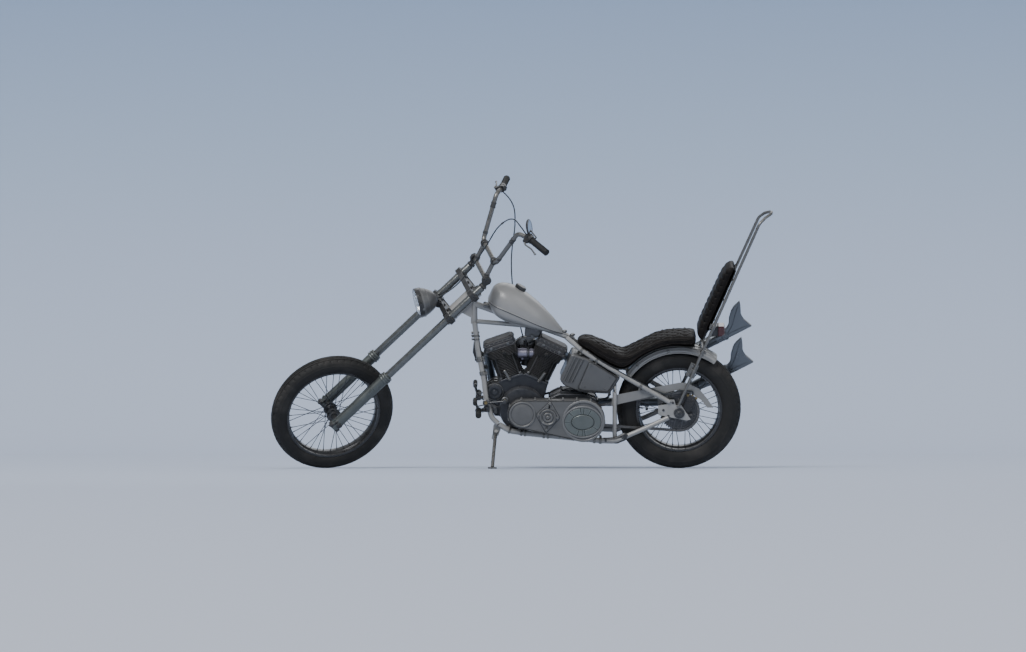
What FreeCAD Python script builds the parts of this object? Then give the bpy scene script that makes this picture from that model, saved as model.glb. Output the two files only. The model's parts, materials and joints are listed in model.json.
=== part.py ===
import FreeCAD, Part
import math
import os
from FreeCAD import Vector as V, Rotation, Placement

# Chopper motorcycle, parked: it leans left on its side stand, steering on the left stop.
# Bike frame: x forward from the rear axle, y to the rider's left, z up, bike upright.
# Fork frame: x forward-and-up from the fork tubes' plane, y left, z up the fork tubes,
# origin at the front wheel's centre.

doc = FreeCAD.newDocument("chopper")
sheet = doc.addObject("Spreadsheet::Sheet", "Sizes")

SIZES = [
    ("origin_x", -841.0), ("origin_y", -288.5),
    ("lean_angle", 13.5), ("rake_angle", 46.0), ("steer_angle", 20.6),
    ("fork_offset", 64.0), ("steer_foot_x", 1813.2),
    ("rear_tyre_radius", 332.0), ("rear_tyre_section", 65.0), ("rear_tyre_wall", 12.0),
    ("front_tyre_radius", 334.0), ("front_tyre_section", 48.0), ("front_tyre_wall", 9.0),
    ("axle_radius", 10.0), ("running_gap", 0.05),
    ("head_radius", 37.0), ("stem_radius", 13.0), ("head_low", 850.0), ("head_high", 987.0),
    ("backbone_radius", 17.0), ("tank_rail_radius", 12.5), ("downtube_radius", 14.0),
    ("rail_radius", 15.0), ("stay_radius", 13.0), ("strut_radius", 11.0),
    ("crank_x", 838.0), ("crank_z", 344.0), ("case_radius", 122.0),
    ("front_bank_angle", 19.5), ("rear_bank_angle", -25.5),
    ("barrel_radius", 66.0), ("barrel_low", 182.0), ("barrel_high", 300.0),
    ("head_block_high", 345.0), ("rocker_high", 397.0),
    ("rocker_length", 172.0), ("rocker_width", 120.0),
    ("generator_radius", 41.0),
    ("primary_width", 59.0), ("primary_inner_width", 38.0),
    ("oil_tank_width", 184.0), ("gearbox_width", 175.0),
    ("pipe_radius", 23.0), ("silencer_radius", 30.0), ("exhaust_side", -176.0),
    ("fender_radius", 347.0), ("fender_gauge", 3.0), ("fender_half_width", 72.0), ("fender_span", 91.0),
    ("sissy_radius", 8.0), ("guard_gauge", 4.0), ("chain_width", 16.0),
    ("fork_half_track", 127.0), ("fork_tube_radius", 20.5), ("slider_radius", 28.0),
    ("slider_collar_radius", 34.0), ("slider_top", 363.0), ("fork_tube_top", 1075.0),
    ("clamp_boss_radius", 36.0), ("clamp_thickness", 30.0),
    ("bar_radius", 12.7), ("grip_radius", 18.5),
    ("headlamp_radius", 80.0),
    ("stand_leg_radius", 9.5), ("stand_foot_radius", 24.0), ("stand_foot_thickness", 10.0),
    ("cable_radius", 3.5),
]
for row_no, (name, value) in enumerate(SIZES, 1):
    sheet.set("A%d" % row_no, name)
    sheet.set("B%d" % row_no, str(value))
    sheet.setAlias("B%d" % row_no, name)
doc.recompute()


def size(name):
    return float(sheet.get(name))


def bind(obj, prop, expression):
    obj.setExpression(prop, expression)


# ---------------------------------------------------------------- placements
rear_r, rear_s = size("rear_tyre_radius"), size("rear_tyre_section")
front_r, front_s = size("front_tyre_radius"), size("front_tyre_section")
lean, rake, steer = (math.radians(size(n)) for n in ("lean_angle", "rake_angle", "steer_angle"))
# height that sets the leaning rear tyre's round tread on the floor
lift = rear_s * (1 - math.cos(lean))
LEAN = Placement(V(size("origin_x"), size("origin_y"), lift), Rotation(V(1, 0, 0), -size("lean_angle")))
# height of the steering axis where it passes the front axle's level, so that the
# leaning, steered front tyre stands on the floor too
axle_tilt = math.cos(steer) * math.sin(lean) + math.sin(rake) * math.sin(steer) * math.cos(lean)
front_height = (front_r - front_s) * math.sqrt(1 - axle_tilt ** 2) + front_s
off = size("fork_offset")
steer_foot_z = ((front_height - lift + off * math.sin(steer) * math.sin(lean)) / math.cos(lean)
                - off * math.sin(rake) * math.cos(steer))
STEER_FOOT = V(size("steer_foot_x"), 0, steer_foot_z)
NECK = LEAN * Placement(STEER_FOOT, Rotation(V(0, 1, 0), -size("rake_angle")))
FORK = NECK * Placement(V(0, 0, 0), Rotation(V(0, 0, 1), size("steer_angle"))) * Placement(V(off, 0, 0), Rotation())
REAR_WHEEL = LEAN * Placement(V(0, 0, rear_r), Rotation())
FLOOR = Placement(V(size("origin_x"), size("origin_y"), 0), Rotation())

NODES = {}


def node(name, obj):
    obj.Label = name
    NODES[name] = obj
    return obj


# ---------------------------------------------------------------- helpers
def feature(name, shape, place):
    o = doc.addObject("Part::Feature", name)
    o.Shape = shape
    o.Placement = place
    return o


def rod(name, p, q, radius, place):
    """Part::Cylinder from p to q; radius is an alias or a number."""
    p, q = V(*p), V(*q)
    o = doc.addObject("Part::Cylinder", name)
    o.Height = (q - p).Length
    if isinstance(radius, str):
        bind(o, "Radius", "Sizes." + radius)
    else:
        o.Radius = radius
    o.Placement = place * Placement(p, Rotation(V(0, 0, 1), q - p))
    return o


def block(name, centre, dims, turn, place):
    """Part::Box centred on centre, dims (x, y, z), turned about y by turn degrees."""
    o = doc.addObject("Part::Box", name)
    o.Length, o.Width, o.Height = dims
    half = Placement(V(-dims[0] / 2, -dims[1] / 2, -dims[2] / 2), Rotation())
    o.Placement = place * Placement(V(*centre), Rotation(V(0, 1, 0), turn)) * half
    return o


def fuse(name, parts):
    o = doc.addObject("Part::MultiFuse", name)
    o.Shapes = parts
    o.Refine = True
    return o


def cut(name, base, tool):
    o = doc.addObject("Part::Cut", name)
    o.Base, o.Tool = base, tool
    o.Refine = True
    return o


def group(name, parts):
    o = doc.addObject("Part::Compound", name)
    o.Links = parts
    return o


def bend_path(points, most=None):
    """Straight runs joined by tangent arcs, each as large as its two runs allow."""
    pts = [V(*p) for p in points]
    edges, radii, last = [], [], pts[0]
    for i in range(1, len(pts) - 1):
        a, b, c = pts[i - 1], pts[i], pts[i + 1]
        u, w = (a - b), (c - b)
        la, lc = u.Length, w.Length
        u.normalize(); w.normalize()
        turn = math.pi - u.getAngle(w)
        r = 0.45 * min(la, lc) / math.tan(turn / 2)
        if most:
            r = min(r, most)
        cut_back = r * math.tan(turn / 2)
        p1, p2 = b + u * cut_back, b + w * cut_back
        mid_dir = (u + w); mid_dir.normalize()
        centre = b + mid_dir * (r / math.cos(turn / 2))
        pm = centre - mid_dir * r
        edges.append(Part.LineSegment(last, p1).toShape())
        edges.append(Part.Arc(p1, pm, p2).toShape())
        radii.append(r)
        last = p2
    edges.append(Part.LineSegment(last, pts[-1]).toShape())
    return Part.Wire(edges), radii


def bent(points, radius, most=None):
    """Solid round bar along the path."""
    wire, radii = bend_path(points, most)
    start, nxt = V(*points[0]), V(*points[1])
    ring = Part.Wire([Part.Circle(start, nxt - start, radius).toShape()])
    shell = wire.makePipeShell([ring], True, False)
    want = math.pi * radius ** 2 * wire.Length
    if abs(shell.Volume - want) > 0.02 * want:
        print("tube volume off", points[0], shell.Volume, want)
    return shell, radii


def outline(points):
    return Part.Wire(Part.makePolygon([V(*p) for p in points] + [V(*points[0])]))


def sketch_in(body, plane, shapes, offset):
    sk = body.newObject("Sketcher::SketchObject", body.Name + "_sketch")
    ref = [f for f in body.Origin.OriginFeatures if f.Role == plane][0]
    sk.AttachmentSupport = [(ref, "")]
    sk.MapMode = "FlatFace"
    sk.AttachmentOffset = Placement(V(0, 0, offset), Rotation())
    for g in shapes:
        if g[0] == "line":
            sk.addGeometry(Part.LineSegment(V(g[1], g[2], 0), V(g[3], g[4], 0)), False)
        elif g[0] == "arc":
            c = Part.Circle(V(g[1], g[2], 0), V(0, 0, 1), g[3])
            sk.addGeometry(Part.ArcOfCircle(c, math.radians(g[4]), math.radians(g[5])), False)
        else:
            sk.addGeometry(Part.Circle(V(g[1], g[2], 0), V(0, 0, 1), g[3]), False)
    return sk


def poly(points):
    n = len(points)
    return [("line",) + tuple(points[i]) + tuple(points[(i + 1) % n]) for i in range(n)]


def side_pad(name, shapes, y_high, width, place, alias=None):
    """PartDesign pad of a side-view outline (x, z), from y_high down by width."""
    body = doc.addObject("PartDesign::Body", name)
    sk = sketch_in(body, "XZ_Plane", shapes, -y_high)
    pad = body.newObject("PartDesign::Pad", name + "_pad")
    pad.Profile = sk
    pad.Length = width
    if alias:
        bind(pad, "Length", "Sizes." + alias)
    body.Placement = place
    return body


def plan_pad(name, shapes, z_low, depth, place, alias=None):
    """PartDesign pad of a plan-view outline (x, y), upward from z_low."""
    body = doc.addObject("PartDesign::Body", name)
    sk = sketch_in(body, "XY_Plane", shapes, z_low)
    pad = body.newObject("PartDesign::Pad", name + "_pad")
    pad.Profile = sk
    pad.Length = depth
    if alias:
        bind(pad, "Length", "Sizes." + alias)
    body.Placement = place
    return body


def turned(name, shapes, place, angle=360.0, alias=None):
    """PartDesign revolution about the y axis of an (r, y) outline."""
    body = doc.addObject("PartDesign::Body", name)
    sk = sketch_in(body, "XY_Plane", shapes, 0)
    rev = body.newObject("PartDesign::Revolution", name + "_turn")
    rev.Profile = sk
    rev.ReferenceAxis = (sk, ["V_Axis"])
    rev.Angle = angle
    if alias:
        bind(rev, "Angle", "Sizes." + alias)
    body.Placement = place
    return body


def both(points, side):
    return [(x, y * side, z) for x, y, z in points]


# ================================================================ wheels
# name, placement, tyre radius, section, wall, rim half width, rim flange height, hub table (r, y)
def wheel(prefix, place, radius, section, wall, seat, half, flange, hub, spoke_no, hub_y, hub_r):
    ring = radius - section
    # the tyre: a round carcass, open at the rim
    def at(r, c):
        return math.sqrt(max(c * c - (ring - r) ** 2, 0))
    r0, r1 = seat, seat + flange
    y_out = at(r1, section)
    y_in = at(r0, section - wall)
    ao = math.degrees(math.acos((r1 - ring) / section))
    ai = math.degrees(math.acos((r0 - ring) / (section - wall)))
    shapes = [
        ("arc", ring, 0, section, -ao, ao),
        ("line", r1, y_out, r1, half),
        ("line", r1, half, r0, half),
        ("line", r0, half, r0, y_in),
        ("arc", ring, 0, section - wall, -ai, ai),
        ("line", r0, -y_in, r0, -half),
        ("line", r0, -half, r1, -half),
        ("line", r1, -half, r1, -y_out),
    ]
    node(prefix + "_tyre", turned(prefix + "_tyre", shapes, place))
    # the rim: bead seats, flanges and a dropped centre
    t = 4.0
    rim = [(r1, half), (r1, half + t), (seat - t, half + t), (seat - t, half * 0.55), (seat - 13, half * 0.4),
           (seat - 13, -half * 0.4), (seat - t, -half * 0.55), (seat - t, -half - t), (r1, -half - t), (r1, -half),
           (seat, -half), (seat, -half * 0.5), (seat - 9, -half * 0.33), (seat - 9, half * 0.33),
           (seat, half * 0.5), (seat, half)]
    node(prefix + "_rim", turned(prefix + "_rim", poly(rim), place))
    node(prefix + "_hub", turned(prefix + "_hub", poly(hub), place))
    spokes = []
    rim_in = seat - 13
    for i in range(spoke_no):
        a = 2 * math.pi * i / spoke_no
        side = 1 if i % 2 else -1
        # each spoke leaves its flange at a slant, towards its place in the rim
        lead = math.radians(38) * (1 if (i // 2) % 2 else -1)
        p = (hub_r * math.cos(a + lead), side * hub_y, hub_r * math.sin(a + lead))
        q = (rim_in * math.cos(a), side * 4.0, rim_in * math.sin(a))
        d = V(*q) - V(*p); d.normalize()
        # the outer end stops in the rim's bed and the inner end in the flange
        p2 = V(*p) + d * 1.0
        q2 = V(*q) + d * 1.5
        spokes.append(rod("%s_spoke_%d" % (prefix, i), tuple(p2), tuple(q2), 2.4, place))
    ends = group(prefix + "_spoke_ends", [NODES[prefix + "_hub"], NODES[prefix + "_rim"]])
    node(prefix + "_spokes", cut(prefix + "_spokes", group(prefix + "_spoke_set", spokes), ends))


ax = size("axle_radius") + size("running_gap")
rear_hub = [(ax, -66), (30, -66), (30, -52), (50, -52), (50, -46), (27, -40), (27, 40), (50, 46), (50, 52),
            (36, 52), (36, 82), (97.3, 82), (97.3, 88), (36, 88), (30, 92), (ax, 92)]
wheel("rear", REAR_WHEEL, rear_r, rear_s, size("rear_tyre_wall"), 222.0, 47.0, 10.0, rear_hub, 40, 49.0, 48.0)
axf = 9.0 + size("running_gap")
front_hub = [(axf, -52), (22, -52), (22, -38), (38, -38), (38, -33), (19, -26), (19, 26), (38, 33), (38, 38),
             (22, 38), (22, 52), (axf, 52)]
wheel("front", FORK, front_r, front_s, size("front_tyre_wall"), 249.0, 34.0, 8.0, front_hub, 40, 35.5, 36.5)

# ================================================================ frame
# the head: a bored tube, a post and a web between them
hl, hh = size("head_low"), size("head_high")
head_tube = rod("head_tube", (0, 0, hl), (0, 0, hh), "head_radius", NECK)
post = rod("head_post", (1094, 0, 795), (1094, 0, 948), 18.0, LEAN)
web = side_pad("head_web", poly([(1172, 862), (1112, 830), (1096, 812), (1088, 940), (1112, 945)]), 13, 26, LEAN)
head_bore = rod("head_bore", (0, 0, hl - 5), (0, 0, hh + 5), size("stem_radius") + size("running_gap"), NECK)
clear_top = rod("head_clear_top", (0, 0, hh), (0, 0, hh + 90), 90.0, NECK)
head_solid = fuse("head_solid", [head_tube, post, web])
head_one = cut("head_trimmed", head_solid, clear_top)
node("steering_head", cut("steering_head", head_one, head_bore))

# backbone: the main tube under the tank and the lower rail beneath it
back_main = rod("backbone_main", (1098, 0, 905), (596, 0, 724), "backbone_radius", LEAN)
back_low = rod("backbone_low", (1094, 0, 808), (716, 0, 774), "tank_rail_radius", LEAN)
back_both = fuse("backbone_both", [back_main, back_low])
node("backbone", cut("backbone", back_both, head_solid))

downtube = [(1092, 21, 803), (1074, 45, 660), (1042, 76, 502), (1030, 97, 400), (1000, 117, 305), (966, 124, 274)]
rail = [(962, 125, 271), (905, 130, 236), (812, 130, 222), (411, 130, 182), (343, 128, 180), (296, 126, 198)]
seat_stay = [(600, 24, 722), (514, 60, 656), (351, 96, 561), (212, 112, 483), (79, 120, 407), (52, 121, 391)]
chain_stay = [(290, 126, 201), (163, 121, 256), (56, 119, 306)]


def pair(name, points, alias, most):
    out = []
    for side, word in ((1, "left"), (-1, "right")):
        shape, radii = bent(both(points, side), size(alias), most)
        out.append(feature("%s_%s" % (name, word), shape, LEAN))
    return out


down = pair("downtube", downtube, "downtube_radius", 120)
down_both = group("downtube_pair", down)
node("front_downtubes", cut("front_downtubes", down_both, NODES["steering_head"]))
rails = pair("rail", rail, "rail_radius", 90)
STAND_PIVOT = V(980, 148, 228.5)
STAND_AXIS = V(-0.1885, 0.5419, 0.8190)
STAND_AXIS.normalize()


def on_hinge(d):
    return tuple(STAND_PIVOT + STAND_AXIS * d)


# the lug plate, the boss square to the hinge, and the pin with its head
stand_lug = fuse("stand_lug", [
    rails[0],
    side_pad("stand_lug_plate", poly([(946, 262), (972, 282), (992, 262), (996, 206), (980, 196), (964, 208)]), 117, 12, LEAN),
    rod("stand_lug_boss", on_hinge(-42), on_hinge(-13), 14.5, LEAN),
    rod("stand_pin", on_hinge(-20), on_hinge(12), 6.0, LEAN),
    rod("stand_pin_head", on_hinge(10.4), on_hinge(16), 10.0, LEAN)])
node("lower_rails", cut("lower_rails", group("rail_pair", [stand_lug, rails[1]]), NODES["front_downtubes"]))
stays = pair("seat_stay", seat_stay, "stay_radius", 90)
stay_both = group("seat_stay_pair", stays)
node("seat_stays", cut("seat_stays", stay_both, back_main))
plate_pts = [(112, 371), (62, 380), (50, 404), (26, 404), (18, 375), (-10, 375), (-62, 297), (-40, 291), (112, 322)]
lower = pair("chain_stay", chain_stay, "stay_radius", 90)
ends = []
for side, word, y_high in ((1, "left", 124.0), (-1, "right", -113.0)):
    plate = side_pad("axle_plate_" + word, poly(plate_pts), y_high, 11.0, LEAN)
    ends.append(fuse("dropout_" + word, [lower[0 if side == 1 else 1], plate]))
axle_bar = rod("rear_axle_bar", (0, -138, rear_r), (0, 138, rear_r), "axle_radius", LEAN)
tools = fuse("dropout_tools", [axle_bar] + stays)
node("chain_stays", cut("chain_stays", group("dropouts", ends), tools))
# rear axle with its nuts and the spacers that hold the hub between the plates
nuts = [axle_bar]
for k, (y0, y1, r) in enumerate([(124.2, 136, 16.0), (-136, -124.2, 16.0), (92.4, 112.8, 17.0), (-112.8, -66.4, 17.0)]):
    nuts.append(rod("axle_collar_%d" % k, (0, y0, rear_r), (0, y1, rear_r), r, LEAN))
node("rear_axle", fuse("rear_axle", nuts))

cross = [
    rod("cross_low", (343, -116, 182), (343, 116, 182), 12.0, LEAN),
    rod("cross_high", (346, -86, 556), (346, 86, 556), 12.0, LEAN),
    rod("strut_left", (343, 106, 182), (343, 105.4, 440), "strut_radius", LEAN),
    rod("strut_right", (343, -106, 182), (343, -105.4, 440), "strut_radius", LEAN),
    rod("strut_tie", (343, -104, 424), (343, 104, 424), 9.0, LEAN)]
cross_all = fuse("cross_all", cross)
cross_tool = fuse("cross_tool", rails + stays)
node("cross_members", cut("cross_members", cross_all, cross_tool))

# ================================================================ engine
cx, cz = size("crank_x"), size("crank_z")
fa, ra = math.radians(size("front_bank_angle")), math.radians(size("rear_bank_angle"))


def bank(angle, along, across=0.0):
    """Point in the cylinders' plane: along a bank's axis, and across it forwards."""
    return (cx + along * math.sin(angle) + across * math.cos(angle),
            cz + along * math.cos(angle) - across * math.sin(angle))


case_parts = [
    rod("case_drum", (cx, -84, cz), (cx, 108, cz), "case_radius", LEAN),
    side_pad("case_deck", poly([bank(fa, 181, 64), bank(fa, 181, -64), (828, 528), bank(ra, 181, 64),
                                bank(ra, 181, -64), (722, 400), (742, 330), (936, 330), (968, 400)]), 62, 124, LEAN),
    rod("generator", (985, -72, 436), (985, 72, 436), "generator_radius", LEAN),
    side_pad("generator_saddle", poly([(1010, 402), (955, 395), (930, 330), (950, 330), (1000, 385)]), 45, 90, LEAN),
    rod("timing_round", (cx, -118, 352), (cx, -84, 352), 96.0, LEAN),
    side_pad("timing_nose", poly([(838, 448), (905, 470), (985, 478), (1024, 440), (985, 396), (905, 285)]), -74, 40, LEAN),
    side_pad("front_mount", poly([(1004, 352), (944, 352), (944, 300), (986, 300)]), 60, 120, LEAN)]
case = fuse("crankcase_all", case_parts)
node("crankcase", cut("crankcase", case, down_both))

barrels, boxes = [], []
for name, angle, deg in (("front", fa, size("front_bank_angle")), ("rear", ra, size("rear_bank_angle"))):
    p, q = bank(angle, size("barrel_low")), bank(angle, size("barrel_high"))
    barrel = rod(name + "_barrel", (p[0], 0, p[1]), (q[0], 0, q[1]), "barrel_radius", LEAN)
    hm = bank(angle, (size("barrel_high") + size("head_block_high")) / 2)
    head = block(name + "_head", (hm[0], 0, hm[1]), (148, 136, size("head_block_high") - size("barrel_high")), deg, LEAN)
    barrels.append(fuse(name + "_cylinder", [barrel, head]))
    rh, rl = size("rocker_high"), size("head_block_high")
    prof = [bank(angle, rl, -size("rocker_length") / 2), bank(angle, rl, size("rocker_length") / 2),
            bank(angle, rh - 12, size("rocker_length") / 2), bank(angle, rh, size("rocker_length") / 2 - 14),
            bank(angle, rh, -size("rocker_length") / 2 + 14), bank(angle, rh - 12, -size("rocker_length") / 2)]
    boxes.append(side_pad(name + "_rocker_box", poly(prof), size("rocker_width") / 2, size("rocker_width"), LEAN,
                          "rocker_width"))
node("cylinders", group("cylinders", barrels))
node("rocker_boxes", group("rocker_boxes", boxes))

carb = [
    rod("manifold", (872, -14, 632), (758, -14, 632), 20.0, LEAN),
    rod("intake", (818, -14, 632), (818, -76, 626), 24.0, LEAN),
    block("carb_body", (818, -62, 616), (70, 44, 84), 0, LEAN),
    rod("air_cleaner", (818, -84, 628), (818, -128, 628), 72.0, LEAN)]
carb_all = fuse("carburettor_all", carb)
node("carburettor", cut("carburettor", carb_all, group("carb_clear", barrels + boxes)))

gearbox = side_pad("gearbox", poly([(694, 398), (640, 424), (520, 424), (446, 396), (430, 330), (446, 262),
                                    (560, 238), (690, 250)]), 70, 175, LEAN, "gearbox_width")
box_foot = side_pad("gearbox_foot", poly([(680, 252), (470, 262), (470, 236), (680, 222)]), 60, 120, LEAN)
node("transmission", fuse("transmission", [gearbox, box_foot]))


def two_round(c1, r1, c2, r2):
    """Outline round two circles, c1 in front; the upper edge is level."""
    d = (c1[0] - c2[0], c1[1] - c2[1])
    base = math.degrees(math.atan2(d[1], d[0]))
    up = base + math.degrees(math.acos((r2 - r1) / math.hypot(*d)))
    dn = 2 * base - up
    def on(c, r, a):
        return (c[0] + r * math.cos(math.radians(a)), c[1] + r * math.sin(math.radians(a)))
    a1, a2 = on(c1, r1, up), on(c2, r2, up)
    b1, b2 = on(c1, r1, dn), on(c2, r2, dn)
    return [("arc", c1[0], c1[1], r1, dn, up), ("line",) + a1 + a2, ("arc", c2[0], c2[1], r2, up, dn + 360),
            ("line",) + b2 + b1]


outer = side_pad("primary_outer", two_round((838, 343), 77, (512, 307), 113), 205, 59, LEAN, "primary_width")
inner = side_pad("primary_inner", two_round((838, 343), 60, (512, 307), 84), 146, 38, LEAN, "primary_inner_width")
node("primary_cover", fuse("primary_cover", [outer, inner]))
node("oil_tank", side_pad("oil_tank", poly([(573, 648), (490, 620), (343, 530), (313, 517), (372, 428), (520, 437),
                                            (610, 470), (638, 504)]), 92, 184, LEAN, "oil_tank_width"))

# ---------------------------------------------------------------- exhausts
side_y = size("exhaust_side")
# fishtail outline: along the silencer's axis, and across it upwards
FISHTAIL = [(-6, -22), (-6, 22), (14, 25), (33, 37), (50, 66), (78, 97), (98, 111), (141, 124), (134, 101), (115, 59),
            (116, 31), (127, 5), (138, -21)]


def exhaust(name, port, elbow, low, bend_x, neck):
    slope = math.atan2(neck[1] - low[1], bend_x - neck[0])
    ahead = 120.0
    bend = (bend_x, side_y, low[1])
    u = V(-math.cos(slope), 0, math.sin(slope))
    start = V(*bend) + u * ahead
    pipe, radii = bent([port, elbow, (low[0], side_y, low[1]), bend, tuple(start)], size("pipe_radius"), 160)
    end = V(neck[0], side_y, neck[1])
    muffler = rod(name + "_silencer", tuple(start - u * 25), tuple(end), "silencer_radius", LEAN)
    w = V(math.sin(slope), 0, math.cos(slope))
    pts = [tuple((end + u * a + w * b).x for _ in (0,)) + ((end + u * a + w * b).z,) for a, b in FISHTAIL]
    tail = side_pad(name + "_fishtail", poly(pts), side_y + 17, 34, LEAN)
    return fuse(name, [feature(name + "_pipe", pipe, LEAN), muffler, tail])


front_port = bank(fa, 322, 70)
rear_port = bank(ra, 322, -70)
ex_f = exhaust("front_exhaust_all", (front_port[0], -50, front_port[1]), (front_port[0] + 16, -138, front_port[1] - 16),
               (975, 320), 79.5, (-268, 499))
ex_r = exhaust("rear_exhaust_all", (rear_port[0], -50, rear_port[1]), (rear_port[0] - 18, -142, rear_port[1] - 6),
               (555, 519), 90, (-257, 698))
clear = group("exhaust_clear", barrels + down)
node("front_exhaust", cut("front_exhaust", ex_f, clear))
node("rear_exhaust", cut("rear_exhaust", ex_r, clear))

# ================================================================ tank, seat, fender
# fuel tank sections: x, top, seam height, half width at the seam, bottom
TANK = [
    (1016, 945, 926, 34, 905),
    (985, 1002, 912, 84, 850),
    (930, 1016, 892, 110, 815),
    (850, 988, 858, 115, 792),
    (760, 920, 812, 96, 768),
    (680, 838, 772, 56, 748),
    (622, 770, 745, 14, 738),
]
wires = []
for x, top, seam, half, low in TANK:
    up = Part.Arc(V(x, -half, seam), V(x, 0, top), V(x, half, seam)).toShape()
    under = Part.Arc(V(x, half, seam), V(x, 0, low), V(x, -half, seam)).toShape()
    wires.append(Part.Wire([up, under]))
tank_solid = feature("tank_body", Part.makeLoft(wires, True, False), LEAN)
tunnel = side_pad("tank_tunnel", poly([(1060, 915), (590, 746), (590, 640), (1060, 640)]), 20, 40, LEAN)
cap = rod("filler_cap", (857, 0, 972), (839.7, 0, 1002), 30.0, LEAN)
node("fuel_tank", cut("fuel_tank", fuse("tank_and_cap", [tank_solid, cap]), tunnel))

# seat outline: x, top, bottom; then its plan
SEAT_TOP = [(551, 702), (540, 724), (518, 737), (480, 731), (432, 702), (384, 676), (338, 654), (306, 645), (269, 652),
            (229, 674), (188, 698), (147, 719), (98, 741), (37, 749), (-78, 751), (-92, 748)]
SEAT_LOW = [(-92, 690), (-78, 687), (37, 695), (98, 684), (147, 666), (188, 645), (229, 615), (269, 577), (292, 560),
            (351, 577), (432, 625), (514, 674), (548, 692)]
SEAT_PLAN = [(556, 38), (540, 55), (500, 78), (440, 108), (380, 122), (-96, 122)]
seat_side = side_pad("seat_side", poly(SEAT_TOP + SEAT_LOW), 130, 260, LEAN)
plan = SEAT_PLAN + [(x, -y) for x, y in reversed(SEAT_PLAN)]
seat_plan = plan_pad("seat_plan", poly(plan), 540, 230, LEAN)
seat = doc.addObject("Part::Common", "seat_block")
seat.Base, seat.Tool = seat_side, seat_plan
node("seat", cut("seat", seat, NODES["seat_stays"]))

# fender: thin U section turned about the axle
fr, fg, fw = size("fender_radius"), size("fender_gauge"), size("fender_half_width")
section = [(317, fw), (330, fw), (342, fw - 8), (fr, fw - 24), (fr, -fw + 24), (342, -fw + 8), (330, -fw), (317, -fw),
           (317, -fw + fg), (329, -fw + fg), (340, -fw + 10), (fr - fg, -fw + 25), (fr - fg, fw - 25), (340, fw - 10),
           (329, fw - fg), (317, fw - fg)]
fender_place = REAR_WHEEL * Placement(V(0, 0, 0), Rotation(V(0, 1, 0), -126))
fender = turned("fender_shell", poly(section), fender_place, 91.0, "fender_span")
fender_tie = block("fender_tie", (312, 0, 551), (52, 60, 6), 12, LEAN)
node("rear_fender", cut("rear_fender", fuse("fender_all", [fender, fender_tie]), cross_all))

# sissy bar: two legs and a hoop swept back at the top
legs = [(5, 133, 372), (-312, 97, 1101), (-424, 84, 1358), (-455, 62, 1386), (-490, 26, 1402)]
loop = both(legs, 1) + [(x, -y, z) for x, y, z in reversed(legs)]
bar_shape, _ = bent(loop, size("sissy_radius"), 45)
bar_feature = feature("sissy_hoop", bar_shape, LEAN)
lamp_bar = rod("sissy_rung", (-176, -111, 789), (-176, 111, 789), 7.0, LEAN)
low_rung = rod("sissy_low_rung", (-124, -117, 668), (-124, 117, 668), 7.0, LEAN)
node("sissy_bar", fuse("sissy_bar", [bar_feature, lamp_bar, low_rung]))

back_u, back_w = V(-0.3989, 0, 0.9170), V(0.9170, 0, 0.3989)
foot = V(-156.0, 0, 765.6)
PAD_SIDE = [(-72, 0), (-32, 58), (0, 62), (330, 60), (368, 48), (382, 26), (376, 0)]
pts = [((foot + back_u * a + back_w * b).x, (foot + back_u * a + back_w * b).z) for a, b in PAD_SIDE]
node("backrest_pad", side_pad("backrest_pad", poly(pts), 105, 210, LEAN))
lamp_at = V(-204, 0, 789)
LAMP = [(-38, 0), (-38, -46), (-26, -56), (26, -56), (38, -46), (38, 0), (10, 0), (10, 20), (-10, 20), (-10, 0)]
pts = [((lamp_at + back_u * a + back_w * b).x, (lamp_at + back_u * a + back_w * b).z) for a, b in LAMP]
lamp = side_pad("tail_lamp", poly(pts), 48, 96, LEAN)
node("tail_light", cut("tail_light", lamp, group("lamp_clear", [lamp_bar])))

# ================================================================ drive and brake
def chain_loop(name, grow, y_high, width):
    return two_round((512, 307), 42 + grow, (0, 332), 105 + grow)


chain = side_pad("chain_solid", chain_loop("outer", 7, 0, 0), 93, 16, LEAN, "chain_width")
chain_in = side_pad("chain_inside", chain_loop("inner", -6.7, 0, 0), 95, 20, LEAN)
node("drive_chain", cut("drive_chain", chain, chain_in))
GUARD = [(354, 422), (155, 463), (-2, 493), (-45, 490), (-107, 458), (-150, 405), (-183, 356), (-150, 356), (-118, 398),
         (-54, 439), (-3, 456), (193, 407), (364, 365)]
cal = fuse("caliper_all", [
    block("caliper_body", (-62, 103, 398), (56, 14, 52), -20, LEAN),
    side_pad("caliper_arm", poly([(-30, 385), (-80, 385), (-52, 330), (-14, 352)]), 112.5, 8, LEAN)])
node("brake_caliper", cal)
guard = side_pad("guard_solid", poly(GUARD), 100, 4, LEAN, "guard_gauge")
node("chain_guard", cut("chain_guard", guard, group("guard_cuts", [cal, NODES["cross_members"]])))

# ================================================================ foot controls
foot_left = fuse("foot_control_solid", [
    rod("peg_arm", (1028, 122, 353), (1071, 150, 352), 9.0, LEAN),
    rod("foot_peg_root", (1071, 140, 352), (1071, 170, 352), 13.0, LEAN),
    rod("foot_peg", (1071, 168, 352), (1071, 262, 352), 16.0, LEAN),
    rod("pedal_arm", (1071, 158, 352), (1089, 158, 416), 8.0, LEAN),
    rod("pedal_peg", (1089, 150, 414), (1089, 248, 414), 12.0, LEAN),
    rod("pedal_lug", (1024, 104, 354), (1024, 130, 354), 13.0, LEAN)])
foot_left = cut("foot_control_left", foot_left, down[0])
foot_right = doc.addObject("Part::Mirroring", "foot_control_right")
foot_right.Source = foot_left
foot_right.Normal = LEAN.Rotation.multVec(V(0, 1, 0))
foot_right.Base = LEAN.Base
node("foot_controls", group("foot_controls", [foot_left, foot_right]))

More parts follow.
